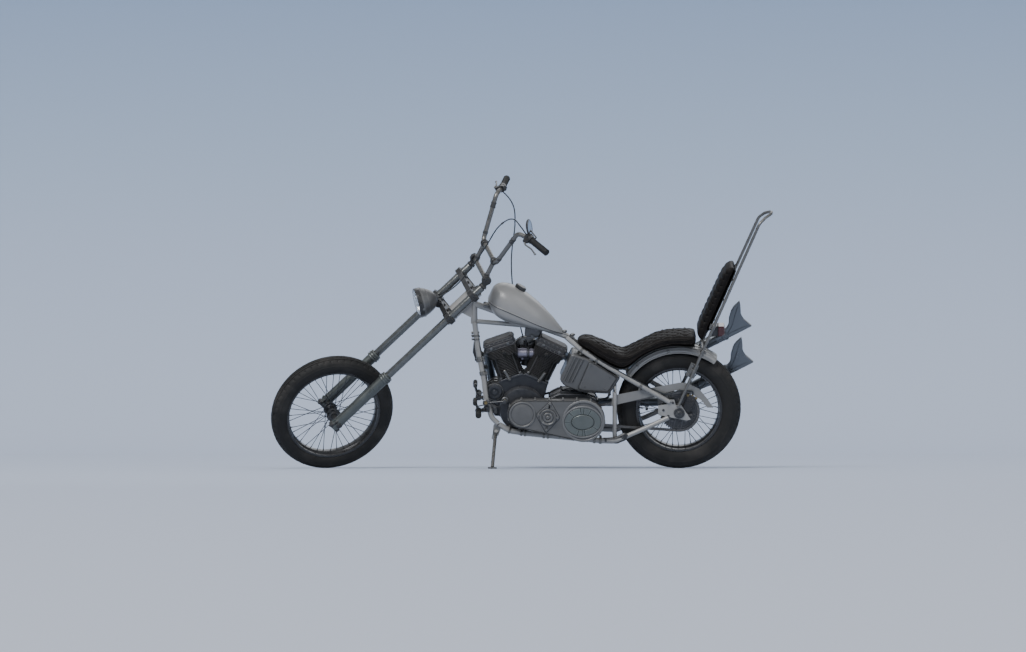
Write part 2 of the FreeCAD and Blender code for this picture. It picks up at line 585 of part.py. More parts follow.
# ================================================================ fork
track = size("fork_half_track")
tubes, sliders, holes = [], [], []
for side, word in ((1, "left"), (-1, "right")):
    tube = rod("fork_tube_" + word, (0, track * side, 200), (0, track * side, size("fork_tube_top")),
               "fork_tube_radius", FORK)
    tubes.append(tube)
    body = rod("slider_body_" + word, (0, track * side, -38), (0, track * side, size("slider_top") + 6),
               "slider_radius", FORK)
    collar = rod("slider_collar_" + word, (0, track * side, size("slider_top") - 24),
                 (0, track * side, size("slider_top") + 12), "slider_collar_radius", FORK)
    sliders.append(fuse("slider_" + word, [body, collar]))
front_axle_bar = rod("front_axle_bar", (0, -166, 0), (0, 166, 0), 9.0, FORK)
axle_bits = [front_axle_bar]
for k, (y0, y1, r) in enumerate([(155.2, 164, 13.0), (-164, -155.2, 13.0), (52.4, 98.8, 14.0), (-98.8, -52.4, 14.0)]):
    axle_bits.append(rod("front_collar_%d" % k, (0, y0, 0), (0, y1, 0), r, FORK))
front_axle = node("front_axle", fuse("front_axle", axle_bits))
node("fork_tubes", group("fork_tubes", tubes))
slider_tool = fuse("slider_tool", [front_axle] + tubes)
node("fork_sliders", cut("fork_sliders", group("slider_pair", sliders), slider_tool))


def clamp(name, z, extra, drill):
    boss = size("clamp_boss_radius")
    parts = [rod("%s_boss_%d" % (name, k), (x, y, z), (x, y, z + size("clamp_thickness")), r, FORK)
             for k, (x, y, r) in enumerate([(0, track, boss), (0, -track, boss), (-off, 0, boss)])]
    web_pts = [(26, -track), (26, track), (-30, track), (-off - 26, 30), (-off - 26, -30), (-30, -track)]
    parts.append(plan_pad(name + "_web", poly(web_pts), z + 3, size("clamp_thickness") - 6, FORK))
    solid = fuse(name + "_solid", parts + extra)
    return cut(name, solid, fuse(name + "_holes", tubes + drill))


stem = rod("steering_stem", (-off, 0, 800), (-off, 0, 1046), "stem_radius", FORK)
node("lower_clamp", clamp("lower_clamp", 815, [stem], []))
node("upper_clamp", clamp("upper_clamp", 992, [], [stem]))

# bars: a lower cross piece in the risers, two short legs, a cross bar, uprights and arms
bar_r = size("bar_radius")
BAR = [(61, 431, 1500), (117, 296, 1471), (151, 232, 1439), (53, 136, 1218)]
bar_path = BAR + [(x, -y, z) for x, y, z in reversed(BAR)]
bar_main, _ = bent(bar_path, bar_r, 40)
bar_parts = [feature("bar_main", bar_main, FORK), rod("bar_low", (13, -140, 1117), (13, 140, 1117), "bar_radius", FORK)]
for side, word in ((1, "left"), (-1, "right")):
    bar_parts.append(rod("bar_leg_" + word, (13, 104 * side, 1117), (53, 104 * side, 1218), "bar_radius", FORK))
node("handlebar", fuse("handlebar", bar_parts))
risers = []
for side, word in ((1, "left"), (-1, "right")):
    post = rod("riser_post_" + word, (0, track * side, 1075.2), (11, track * side, 1112), 17.0, FORK)
    eye = rod("riser_eye_" + word, (13, 117 * side, 1117), (13, 138 * side, 1117), 24.0, FORK)
    risers.append(fuse("riser_" + word, [post, eye]))
node("handlebar_risers", cut("handlebar_risers", group("riser_pair", risers), fuse("riser_tool", [bar_parts[1]] + tubes)))

grips, levers = [], []
for side, word in ((1, "left"), (-1, "right")):
    a, b = V(117, 296 * side, 1471), V(61, 431 * side, 1500)
    d = (b - a); full = d.Length; d.normalize()
    g = rod("grip_" + word, tuple(a + d * (full - 121)), tuple(b + d * 4), "grip_radius", FORK)
    grips.append(g)
    perch = rod("perch_" + word, tuple(a + d * (full - 149)), tuple(a + d * (full - 126)), 21.0, FORK)
    # lever: forward of the grip, towards the wheel side
    n = V(0.55, 0, -0.83)
    root = a + d * (full - 137)
    knee = a + d * (full - 120) + n * 44
    tip = a + d * (full - 8) + n * 58
    lever_shape, _ = bent([tuple(root), tuple(knee), tuple(tip)], 7.0, 60)
    parts = [perch, feature("lever_" + word, lever_shape, FORK)]
    if side == 1:
        # a round mirror that faces the rider
        mirror = V(140, 250, 1506)
        face = FORK.Rotation.inverted().multVec(V(-0.95, 0.28, 0.12))
        face.normalize()
        parts.append(rod("mirror_stem", tuple(root), tuple(mirror), 5.0, FORK))
        parts.append(rod("mirror_head", tuple(mirror - face * 6), tuple(mirror + face * 6), 45.0, FORK))
    levers.append(fuse("hand_control_" + word, parts))
bar_tool = feature("bar_tool", bent(bar_path, bar_r, 40)[0], FORK)
node("handlebar_grips", cut("handlebar_grips", group("grip_pair", grips), bar_tool))
node("hand_controls", cut("hand_controls", group("hand_control_pair", levers), bar_tool))

# headlamp shell, turned about its own axis, and its bracket to the lower clamp
hr = size("headlamp_radius")
SHELL = [(0, 0), (hr, 0), (hr, -30), (hr - 5, -38), (hr - 22, -76), (hr - 48, -104), (18, -112), (0, -112)]
aim = math.degrees(math.atan2(0.557, -0.83))
lamp_place = FORK * Placement(V(130, 0, 748), Rotation(V(0, 1, 0), V(0.557, 0, -0.83)))
shell = turned("headlamp_shell", poly(SHELL), lamp_place)
arm = side_pad("headlamp_arm", poly([(22, 812), (60, 800), (74, 768), (92, 772), (84, 812), (66, 838), (22, 842)]), 17, 34, FORK)
node("headlight", cut("headlight", fuse("headlight_all", [shell, arm]), NODES["lower_clamp"]))

# ================================================================ side stand
# pivot in the leaning bike, foot flat on the floor
pivot = LEAN.multVec(V(980, 148, 228.5)) - FLOOR.Base
foot_at = V(997, 345, 0)
leg_top = pivot
leg_low = V(foot_at.x, foot_at.y, size("stand_foot_thickness") - 2)
leg = rod("stand_leg", tuple(leg_top), tuple(leg_low), "stand_leg_radius", FLOOR)
eye_at = [LEAN.multVec(V(*on_hinge(d))) - FLOOR.Base for d in (-10, 10, -14, 14)]
eye = rod("stand_eye", tuple(eye_at[0]), tuple(eye_at[1]), 15.0, FLOOR)
eye_bore = rod("stand_eye_bore", tuple(eye_at[2]), tuple(eye_at[3]), 6.2, FLOOR)
shoe = rod("stand_shoe", (foot_at.x, foot_at.y, 0), (foot_at.x, foot_at.y, size("stand_foot_thickness")),
           "stand_foot_radius", FLOOR)
under = doc.addObject("Part::Box", "stand_under")
under.Length, under.Width, under.Height = 200, 200, 60
under.Placement = FLOOR * Placement(V(foot_at.x - 100, foot_at.y - 100, -60), Rotation())
node("side_stand", cut("side_stand", fuse("side_stand_all", [leg, eye, shoe]), group("stand_cuts", [under, eye_bore])))

# ================================================================ cables
cable_r = size("cable_radius")


THROTTLE = [(947, -206, 1474), (882, -178, 1426), (873, -158, 1301), (895, -140, 1163), (896, -138, 1050),
            (888, -140, 950), (862, -128, 800), (826, -84, 672)]
shape, radii = bent(THROTTLE, cable_r)
print("throttle cable bends", [round(r) for r in radii], "length", round(shape.Volume / math.pi / cable_r ** 2))
throttle = feature("throttle_whole", shape, LEAN)
node("throttle_cable", cut("throttle_cable", throttle, group("throttle_ends", [NODES["hand_controls"], NODES["handlebar"], NODES["carburettor"]])))
LAMP_LEAD = [(114, 300, 1470), (196, 285, 1486), (242, 222, 1487), (198, 110, 1372), (107, 30, 1232), (60, -8, 1110),
             (40, -4, 1000), (46, 0, 915), (68, 0, 838)]
shape, radii = bent(LAMP_LEAD, cable_r)
print("lamp lead bends", [round(r) for r in radii], "length", round(shape.Volume / math.pi / cable_r ** 2))
lead = feature("lamp_lead_whole", shape, FORK)
node("headlight_cable", cut("headlight_cable", lead, group("lead_ends", [NODES["hand_controls"], NODES["handlebar"], NODES["headlight"]])))

# ================================================================ check and write
doc.recompute()
bad = []
for o in doc.Objects:
    if "Invalid" in o.State or "Error" in o.State:
        bad.append((o.Name, o.State))
for name, o in NODES.items():
    if o.Shape.isNull() or not o.Shape.isValid() or not o.Shape.Solids:
        bad.append((name, "shape"))
if bad:
    for b in bad:
        print("FAILED", b)
    raise SystemExit(1)
os.makedirs("parts", exist_ok=True)
box = FreeCAD.BoundBox()
total = 0.0
for name, o in NODES.items():
    o.Shape.exportStep(os.path.join("parts", name + ".step"))
    box.add(o.Shape.BoundBox)
    total += o.Shape.Volume
print("nodes", len(NODES), "volume m3", round(total / 1e9, 4))
print("box", [round(v, 1) for v in (box.XMin, box.XMax, box.YMin, box.YMax, box.ZMin, box.ZMax)])
print("centre", round((box.XMin + box.XMax) / 2, 1), round((box.YMin + box.YMax) / 2, 1))
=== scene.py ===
import json
import math
import random

import bmesh
import bpy
import numpy as np
from mathutils import Matrix, Vector


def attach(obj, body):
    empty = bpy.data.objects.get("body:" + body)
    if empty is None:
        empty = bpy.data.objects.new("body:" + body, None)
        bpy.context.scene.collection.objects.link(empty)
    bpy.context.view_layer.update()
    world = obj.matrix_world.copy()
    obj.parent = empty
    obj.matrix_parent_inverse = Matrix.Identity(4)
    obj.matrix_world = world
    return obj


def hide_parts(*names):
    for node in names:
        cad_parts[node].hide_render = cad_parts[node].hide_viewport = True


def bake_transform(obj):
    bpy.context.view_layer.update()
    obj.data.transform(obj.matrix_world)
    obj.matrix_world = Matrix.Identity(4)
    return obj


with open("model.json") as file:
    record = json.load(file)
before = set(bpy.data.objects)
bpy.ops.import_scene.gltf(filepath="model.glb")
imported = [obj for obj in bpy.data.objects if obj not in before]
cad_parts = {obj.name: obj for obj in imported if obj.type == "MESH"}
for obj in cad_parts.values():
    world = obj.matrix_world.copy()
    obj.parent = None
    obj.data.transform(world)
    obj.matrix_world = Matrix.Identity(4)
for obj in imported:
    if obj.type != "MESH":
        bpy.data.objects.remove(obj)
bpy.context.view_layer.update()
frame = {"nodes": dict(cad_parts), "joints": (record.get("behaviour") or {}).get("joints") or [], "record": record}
record, nodes = frame["record"], frame["nodes"]
joints = {j["name"]: j for j in frame["joints"]}
random.seed(7)
V3 = Vector

# ------------------------------------------------------------------ frames
# Two working frames in millimetres: the upright bike (origin under the rear axle, x forward,
# y left, z up) and the fork (origin at the front axle, x off the fork's plane, y left, z up the legs).


def frame_of(x, y, z, origin):
    m = Matrix.Identity(4)
    for i, axis in enumerate((x, y, z)):
        for k in range(3):
            m[k][i] = axis[k] * 0.001
    for k in range(3):
        m[k][3] = origin[k]
    return m


rear = joints["rear_wheel_spin"]
front = joints["front_wheel_spin"]
yb = V3(rear["axis"]).normalized()
xb = V3((1, 0, 0))
zb = xb.cross(yb).normalized()
BIKE = frame_of(xb, yb, zb, V3(rear["pos_m"]) - zb * 0.332)
REAR = frame_of(xb, yb, zb, V3(rear["pos_m"]))
yf = V3(front["axis"]).normalized()
zf = V3(joints["steering"]["axis"]).normalized()
xf = yf.cross(zf).normalized()
FORK = frame_of(xf, yf, zf, V3(front["pos_m"]))
ROW = frame_of((1, 0, 0), (0, 1, 0), (0, 0, 1), (0, 0, 0))

# ------------------------------------------------------------------ camera
WIDE, HIGH = 1026.0, 652.0
STEP = 5.33                       # millimetres of object for one step of the picture
aim_x = ((679.4 - WIDE / 2) * STEP) * 0.001 + V3(rear["pos_m"]).x
aim_z = ((468.7 - HIGH / 2) * STEP) * 0.001
cam_data = bpy.data.cameras.new("camera")
cam = bpy.data.objects.new("camera", cam_data)
bpy.context.scene.collection.objects.link(cam)
cam_data.lens = 400.0
cam_data.sensor_width = 36.0
away = WIDE * STEP * 0.001 * cam_data.lens / 36.0
cam_data.clip_end = 400.0
cam.location = (aim_x, away, aim_z)
cam.rotation_euler = (math.radians(90), 0, math.radians(180))
bpy.context.scene.camera = cam


# ------------------------------------------------------------------ shapes, as (points, faces)
def ring_frame(d):
    d = V3(d).normalized()
    a = V3((0, 0, 1)) if abs(d.z) < 0.9 else V3((1, 0, 0))
    u = d.cross(a).normalized()
    return d, u, d.cross(u).normalized()


def rounded(points, most=None, seg=8):
    """Straight runs joined by arcs, each as large as its two runs allow."""
    pts = [V3(p) for p in points]
    out = [pts[0]]
    for i in range(1, len(pts) - 1):
        a, b, c = pts[i - 1], pts[i], pts[i + 1]
        u, w = a - b, c - b
        la, lc = u.length, w.length
        u.normalize(); w.normalize()
        turn = math.pi - u.angle(w)
        if turn < 0.01:
            out.append(b)
            continue
        r = 0.45 * min(la, lc) / math.tan(turn / 2)
        if most:
            r = min(r, most)
        back = r * math.tan(turn / 2)
        mid = (u + w).normalized()
        centre = b + mid * (r / math.cos(turn / 2))
        p1, p2 = b + u * back - centre, b + w * back - centre
        n = max(2, int(seg * turn / 0.8) + 1)
        ang = p1.angle(p2)
        for k in range(n + 1):
            t = k / n
            out.append(centre + (p1 * math.sin((1 - t) * ang) + p2 * math.sin(t * ang)) / math.sin(ang) if ang > 1e-3 else centre + p1)
    out.append(pts[-1])
    return out


def tube(path, r, n=20, caps=True, closed=False):
    """A round bar along a path; r is one radius or one for each point."""
    path = [V3(p) for p in path]
    rs = r if isinstance(r, (list, tuple)) else [r] * len(path)
    m = len(path)
    vs, fs = [], []
    prev = None
    for i, p in enumerate(path):
        if closed:
            d = path[(i + 1) % m] - path[i - 1]
        else:
            d = path[min(i + 1, m - 1)] - path[max(i - 1, 0)]
        d.normalize()
        if prev is None:
            _, u, w = ring_frame(d)
        else:
            u = (prev - d * prev.dot(d)).normalized()
            w = d.cross(u).normalized()
        prev = u
        w = d.cross(u).normalized()
        for k in range(n):
            a = 2 * math.pi * k / n
            vs.append(p + (u * math.cos(a) + w * math.sin(a)) * rs[i])
    for i in range(m if closed else m - 1):
        j = (i + 1) % m
        for k in range(n):
            k2 = (k + 1) % n
            fs.append((i * n + k, i * n + k2, j * n + k2, j * n + k))
    if caps and not closed:
        fs.append(tuple(range(n - 1, -1, -1)))
        fs.append(tuple((m - 1) * n + k for k in range(n)))
    return vs, fs


def lathe(profile, at, along, n=48, angle=2 * math.pi, start=0.0, u=None):
    """Turns an (r, h) outline about the line through at; a first and last r of 0 close it."""
    d, uu, w = ring_frame(along)
    if u is not None:
        uu = (V3(u) - d * V3(u).dot(d)).normalized()
        w = d.cross(uu).normalized()
    at = V3(at)
    full = abs(angle - 2 * math.pi) < 1e-6
    cols = n if full else n + 1
    vs, fs = [], []
    rows = []
    for r, h in profile:
        if r < 1e-6:
            rows.append([len(vs)] * cols)
            vs.append(at + d * h)
        else:
            rows.append(list(range(len(vs), len(vs) + cols)))
            for k in range(cols):
                a = start + angle * k / n
                vs.append(at + d * h + (uu * math.cos(a) + w * math.sin(a)) * r)
    for i in range(len(rows) - 1):
        for k in range(n):
            k2 = (k + 1) % cols
            q = [rows[i][k], rows[i][k2], rows[i + 1][k2], rows[i + 1][k]]
            f = []
            for x in q:
                if x not in f:
                    f.append(x)
            if len(f) > 2:
                fs.append(tuple(reversed(f)))
    return vs, fs


def ring(profile, at, along, n=48, u=None):
    """A closed outline turned into a ring."""
    return lathe(list(profile) + [profile[0]], at, along, n, u=u)


def rod(p, q, r, n=24, c=None, r2=None):
    """A round bar with a small chamfer at each end."""
    p, q = V3(p), V3(q)
    L = (q - p).length
    c = min(r * 0.18, 1.5, L * 0.3) if c is None else c
    r2 = r if r2 is None else r2
    if c <= 0:
        return lathe([(0, 0), (r, 0), (r2, L), (0, L)], p, q - p, n)
    return lathe([(0, 0), (r - c, 0), (r, c), (r2, L - c), (r2 - c, L), (0, L)], p, q - p, n)


def ball(c, r, n=20):
    prof = [(r * math.sin(a), -r * math.cos(a)) for a in np.linspace(0, math.pi, n // 2 + 1)]
    prof[0], prof[-1] = (0, -r), (0, r)
    return lathe(prof, c, (0, 1, 0), n)


def torus(c, along, R, r, n=48, k=12):
    prof = [(R + r * math.cos(a), r * math.sin(a)) for a in np.linspace(0, 2 * math.pi, k, endpoint=False)]
    return ring(prof, c, along, n)


def hexa(p, along, r, h, n=6):
    """A hexagon nut or bolt head with chamfered corners, standing on p."""
    d, u, w = ring_frame(along)
    p = V3(p)
    vs, fs = [], []
    for hh, rr in ((0, r), (h * 0.8, r), (h, r * 0.86)):
        for k in range(n):
            a = 2 * math.pi * k / n
            vs.append(p + d * hh + (u * math.cos(a) + w * math.sin(a)) * rr)
    for i in range(2):
        for k in range(n):
            k2 = (k + 1) % n
            fs.append((i * n + k, i * n + k2, (i + 1) * n + k2, (i + 1) * n + k))
    fs.append(tuple(range(n - 1, -1, -1)))
    fs.append(tuple(2 * n + k for k in range(n)))
    return vs, fs


def bolt(p, along, r=6.0, h=5.0, washer=True):
    """A hexagon head on its washer."""
    out = [hexa(V3(p) + V3(along).normalized() * (1.5 if washer else 0), along, r, h)]
    if washer:
        out.append(rod(p, V3(p) + V3(along).normalized() * 1.5, r * 1.25, 18, 0.3))
    return join(out)


def screw(p, along, r=4.0, h=3.0):
    """A round socket-head screw."""
    d = V3(along).normalized()
    prof = [(0, 0), (r, 0), (r, h * 0.75), (r * 0.85, h), (r * 0.5, h), (r * 0.5, h * 0.35), (0, h * 0.35)]
    return lathe(prof, p, d, 16)


def prism(outline, h0, h1, plane="xz"):
    """A flat outline pushed from h0 to h1 along the plane's third axis."""
    n = len(outline)

    def at(p, h):
        if plane == "xz":
            return V3((p[0], h, p[1]))
        if plane == "xy":
            return V3((p[0], p[1], h))
        return V3((h, p[0], p[1]))
    vs = [at(p, h0) for p in outline] + [at(p, h1) for p in outline]
    fs = [tuple(range(n)), tuple(range(2 * n - 1, n - 1, -1))]
    for k in range(n):
        k2 = (k + 1) % n
        fs.append((k2, k, n + k, n + k2))
    return vs, fs


def soft_prism(outline, h0, h1, c=2.0, plane="xz"):
    """The same with both rims chamfered inwards by c."""
    inner = inset(outline, c)
    n = len(outline)

    def at(p, h):
        if plane == "xz":
            return V3((p[0], h, p[1]))
        if plane == "xy":
            return V3((p[0], p[1], h))
        return V3((h, p[0], p[1]))
    s = 1 if h1 > h0 else -1
    rows = [(inner, h0), (outline, h0 + s * c), (outline, h1 - s * c), (inner, h1)]
    vs = [at(p, h) for o, h in rows for p in o]
    fs = [tuple(range(n)), tuple(range(4 * n - 1, 3 * n - 1, -1))]
    for i in range(3):
        for k in range(n):
            k2 = (k + 1) % n
            fs.append((i * n + k2, i * n + k, (i + 1) * n + k, (i + 1) * n + k2))
    return vs, fs


def inset(outline, c):
    """The outline moved inwards by c at each corner."""
    n = len(outline)
    area = sum(outline[i][0] * outline[(i + 1) % n][1] - outline[(i + 1) % n][0] * outline[i][1] for i in range(n))
    sgn = 1 if area > 0 else -1
    out = []
    for i in range(n):
        p0, p1, p2 = (Vector(outline[i - 1]), Vector(outline[i]), Vector(outline[(i + 1) % n]))
        a, b = (p1 - p0).normalized(), (p2 - p1).normalized()
        na, nb = Vector((-a.y, a.x)) * sgn, Vector((-b.y, b.x)) * sgn
        m = (na + nb)
        if m.length < 1e-6:
            m = na
        m.normalize()
        k = c / max(m.dot(na), 0.35)
        q = p1 + m * k
        out.append((q.x, q.y))
    return out


def arcs(cx, cz, r, a0, a1, n=12):
    return [(cx + r * math.cos(math.radians(a)), cz + r * math.sin(math.radians(a))) for a in np.linspace(a0, a1, n)]


def corner_round(outline, r, seg=4):
    """The outline with every corner rounded by about r."""
    out = []
    n = len(outline)
    for i in range(n):
        p0, p1, p2 = Vector(outline[i - 1]), Vector(outline[i]), Vector(outline[(i + 1) % n])
        u, w = (p0 - p1), (p2 - p1)
        d = min(r, u.length * 0.45, w.length * 0.45)
        a, b = p1 + u.normalized() * d, p1 + w.normalized() * d
        for k in range(seg + 1):
            t = k / seg
            q = a * (1 - t) ** 2 + p1 * 2 * t * (1 - t) + b * t * t
            out.append((q.x, q.y))
    return out


def slab(c, size, ax=None, r=2.0):
    """A block with chamfered edges: centre, full sizes and its three directions."""
    c = V3(c)
    ax = ax or (V3((1, 0, 0)), V3((0, 1, 0)), V3((0, 0, 1)))
    sx, sy, sz = (v / 2 for v in size)
    out = corner_round([(-sx, -sz), (sx, -sz), (sx, sz), (-sx, sz)], r, 3)
    vs, fs = soft_prism(out, -sy, sy, min(r * 0.5, sy * 0.4))
    return [c + V3(ax[0]) * v.x + V3(ax[1]) * v.y + V3(ax[2]) * v.z for v in vs], fs


def join(parts):
    vs, fs = [], []
    for v, f in parts:
        base = len(vs)
        vs += list(v)
        fs += [tuple(i + base for i in x) for x in f]
    return vs, fs


def moved(vf, m):
    return [m @ V3(v) for v in vf[0]], vf[1]


def mirror_y(vf):
    return [V3((v[0], -v[1], v[2])) for v in vf[0]], [tuple(reversed(f)) for f in vf[1]]


def sides(fn):
    """fn(+1) and the mirror of it."""
    a = fn(1)
    return [a, mirror_y(a)]


# ------------------------------------------------------------------ pieces
def piece(name, parts, place, body, stuff, replaces=(), sharp=32, bevel=0.0, subsurf=0):
    """One object from shapes in a working frame, in its own material, riding on a body."""
    mats = stuff if isinstance(stuff, (list, tuple)) else [stuff]
    me = bpy.data.meshes.new(name)
    vs, fs, ms = [], [], []
    for item in parts:
        vf, mi = (item if isinstance(item[1], int) else (item, 0))
        base = len(vs)
        vs += [place @ V3(v) for v in vf[0]]
        fs += [tuple(i + base for i in f) for f in vf[1]]
        ms += [mi] * len(vf[1])
    me.from_pydata([tuple(v) for v in vs], [], fs)
    for m in mats:
        me.materials.append(m)
    me.polygons.foreach_set("material_index", ms)
    bm = bmesh.new()
    bm.from_mesh(me)
    bmesh.ops.remove_doubles(bm, verts=bm.verts, dist=1e-6)
    bmesh.ops.recalc_face_normals(bm, faces=bm.faces)
    bm.to_mesh(me)
    bm.free()
    me.polygons.foreach_set("use_smooth", [True] * len(me.polygons))
    if sharp < 180:
        me.set_sharp_from_angle(angle=math.radians(sharp))
    o = bpy.data.objects.new(name, me)
    bpy.context.scene.collection.objects.link(o)
    if bevel:
        b = o.modifiers.new("edge", "BEVEL")
        b.width, b.segments, b.limit_method, b.angle_limit = bevel * 0.001, 2, "ANGLE", math.radians(35)
        b.harden_normals = False
    if subsurf:
        sm = o.modifiers.new("smooth", "SUBSURF")
        sm.levels = sm.render_levels = subsurf
    if body:
        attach(o, body)
    if replaces:
        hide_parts(*replaces)
    return o


# ------------------------------------------------------------------ materials
def new_mat(name):
    m = bpy.data.materials.new(name)
    m.use_nodes = True
    return m, m.node_tree.nodes, m.node_tree.links, m.node_tree.nodes["Principled BSDF"]


def mat(name, color, rough=0.4, metal=0.0, scale=60.0, vary=0.12, bump=0.05, bump_scale=400.0, rvary=0.12,
        stretch=None, coat=0.0, coat_rough=0.1, sheen=0.0, spec=0.5, dist=0.0006, wear=0.0, wear_color=(0.5, 0.5, 0.5), dirt=0.0):
    """A surface whose colour, gloss and grain vary from place to place."""
    m, n, l, b = new_mat(name)
    tc = n.new("ShaderNodeTexCoord")
    mp = n.new("ShaderNodeMapping")
    if stretch:
        mp.inputs["Scale"].default_value = stretch
    l.new(tc.outputs["Object"], mp.inputs["Vector"])
    big = n.new("ShaderNodeTexNoise")
    big.inputs["Scale"].default_value = scale
    big.inputs["Detail"].default_value = 4.0
    l.new(mp.outputs["Vector"], big.inputs["Vector"])
    ramp = n.new("ShaderNodeValToRGB")
    ramp.color_ramp.elements[0].position = 0.3
    ramp.color_ramp.elements[1].position = 0.7
    lo = [max(0.0, c * (1 - vary)) for c in color]
    hi = [min(1.0, c * (1 + vary)) for c in color]
    ramp.color_ramp.elements[0].color = (*lo, 1)
    ramp.color_ramp.elements[1].color = (*hi, 1)
    l.new(big.outputs["Fac"], ramp.inputs["Fac"])
    last = ramp.outputs["Color"]
    if wear > 0:
        geo = n.new("ShaderNodeNewGeometry")
        wr = n.new("ShaderNodeValToRGB")
        wr.color_ramp.elements[0].position = 0.52
        wr.color_ramp.elements[1].position = 0.60
        l.new(geo.outputs["Pointiness"], wr.inputs["Fac"])
        mul = n.new("ShaderNodeMath")
        mul.operation = "MULTIPLY"
        mul.inputs[1].default_value = wear
        l.new(wr.outputs["Color"], mul.inputs[0])
        mix = n.new("ShaderNodeMix")
        mix.data_type = "RGBA"
        l.new(mul.outputs[0], mix.inputs["Factor"])
        l.new(last, mix.inputs["A"])
        mix.inputs["B"].default_value = (*wear_color, 1)
        last = mix.outputs["Result"]
    if dirt > 0:
        low = n.new("ShaderNodeTexNoise")
        low.inputs["Scale"].default_value = 9.0
        low.inputs["Detail"].default_value = 6.0
        l.new(tc.outputs["Object"], low.inputs["Vector"])
        dr = n.new("ShaderNodeMapRange")
        dr.inputs["From Min"].default_value = 0.5
        dr.inputs["From Max"].default_value = 0.8
        dr.inputs["To Max"].default_value = dirt
        l.new(low.outputs["Fac"], dr.inputs["Value"])
        mix2 = n.new("ShaderNodeMix")
        mix2.data_type = "RGBA"
        l.new(dr.outputs["Result"], mix2.inputs["Factor"])
        l.new(last, mix2.inputs["A"])
        mix2.inputs["B"].default_value = (0.10, 0.09, 0.08, 1)
        last = mix2.outputs["Result"]
    l.new(last, b.inputs["Base Color"])
    b.inputs["Metallic"].default_value = metal
    fine = n.new("ShaderNodeTexNoise")
    fine.inputs["Scale"].default_value = bump_scale
    fine.inputs["Detail"].default_value = 3.0
    l.new(mp.outputs["Vector"], fine.inputs["Vector"])
    rr = n.new("ShaderNodeMapRange")
    rr.inputs["From Min"].default_value = 0.3
    rr.inputs["From Max"].default_value = 0.7
    rr.inputs["To Min"].default_value = max(0.02, rough - rvary)
    rr.inputs["To Max"].default_value = min(1.0, rough + rvary)
    l.new(big.outputs["Fac"], rr.inputs["Value"])
    l.new(rr.outputs["Result"], b.inputs["Roughness"])
    bp = n.new("ShaderNodeBump")
    bp.inputs["Strength"].default_value = bump
    bp.inputs["Distance"].default_value = dist
    l.new(fine.outputs["Fac"], bp.inputs["Height"])
    l.new(bp.outputs["Normal"], b.inputs["Normal"])
    b.inputs["Specular IOR Level"].default_value = spec
    if coat:
        b.inputs["Coat Weight"].default_value = coat
        b.inputs["Coat Roughness"].default_value = coat_rough
    if sheen:
        b.inputs["Sheen Weight"].default_value = sheen
    return m


M = {}
M["frame"] = mat("frame_paint", (0.235, 0.232, 0.225), 0.42, 0.10, 22, 0.07, 0.06, 900, 0.06, coat=0.4, coat_rough=0.18, wear=0.25, wear_color=(0.45, 0.44, 0.43), dirt=0.12)
M["tank"] = mat("tank_paint", (0.245, 0.242, 0.236), 0.36, 0.08, 14, 0.05, 0.03, 1200, 0.05, coat=0.45, coat_rough=0.22)
M["panel"] = mat("panel_grey", (0.095, 0.095, 0.096), 0.42, 0.3, 18, 0.07, 0.05, 900, 0.07, coat=0.3, coat_rough=0.25, wear=0.2, wear_color=(0.35, 0.35, 0.35))
M["fork"] = mat("fork_steel", (0.105, 0.115, 0.112), 0.34, 0.7, 30, 0.10, 0.06, 700, 0.08, stretch=(1, 1, 1), wear=0.3, wear_color=(0.3, 0.3, 0.3))
M["fork_tube"] = mat("fork_tube_steel", (0.15, 0.155, 0.152), 0.26, 0.85, 40, 0.08, 0.04, 900, 0.06)
M["bar"] = mat("bar_steel", (0.17, 0.166, 0.158), 0.30, 0.8, 35, 0.08, 0.04, 900, 0.08)
M["exhaust"] = mat("exhaust_steel", (0.115, 0.13, 0.145), 0.33, 0.8, 12, 0.16, 0.05, 700, 0.10, wear=0.2, wear_color=(0.3, 0.31, 0.33))
M["black"] = mat("black_enamel", (0.018, 0.018, 0.019), 0.34, 0.2, 30, 0.2, 0.08, 800, 0.10, coat=0.3, coat_rough=0.25, wear=0.25, wear_color=(0.16, 0.16, 0.16))
M["fins"] = mat("fin_black", (0.012, 0.012, 0.013), 0.5, 0.3, 60, 0.25, 0.18, 900, 0.12, wear=0.35, wear_color=(0.15, 0.15, 0.155), dirt=0.2)
M["alloy"] = mat("cast_alloy", (0.042, 0.042, 0.045), 0.50, 0.55, 45, 0.12, 0.22, 1100, 0.10, wear=0.2, wear_color=(0.24, 0.24, 0.25), dirt=0.35)
M["case"] = mat("case_dark", (0.042, 0.044, 0.050), 0.46, 0.6, 40, 0.18, 0.2, 1000, 0.12, wear=0.4, wear_color=(0.35, 0.35, 0.36), dirt=0.3)
M["primary"] = mat("primary_alloy", (0.125, 0.124, 0.122), 0.44, 0.45, 25, 0.08, 0.08, 1400, 0.08, wear=0.3, wear_color=(0.42, 0.42, 0.42))
M["clutch"] = mat("clutch_green_grey", (0.088, 0.100, 0.097), 0.42, 0.45, 30, 0.1, 0.08, 1200, 0.08, wear=0.3, wear_color=(0.3, 0.33, 0.32))
M["manifold"] = mat("manifold_alloy", (0.27, 0.26, 0.32), 0.35, 0.7, 40, 0.08, 0.08, 1200, 0.06)
M["steel"] = mat("bolt_steel", (0.17, 0.17, 0.17), 0.36, 0.85, 90, 0.15, 0.08, 1500, 0.10)
M["dark_steel"] = mat("dark_steel", (0.07, 0.07, 0.072), 0.38, 0.8, 70, 0.2, 0.1, 1200, 0.12, wear=0.3, wear_color=(0.3, 0.3, 0.3))
M["spoke"] = mat("spoke_steel", (0.05, 0.052, 0.056), 0.34, 0.8, 60, 0.15, 0.04, 900, 0.08)
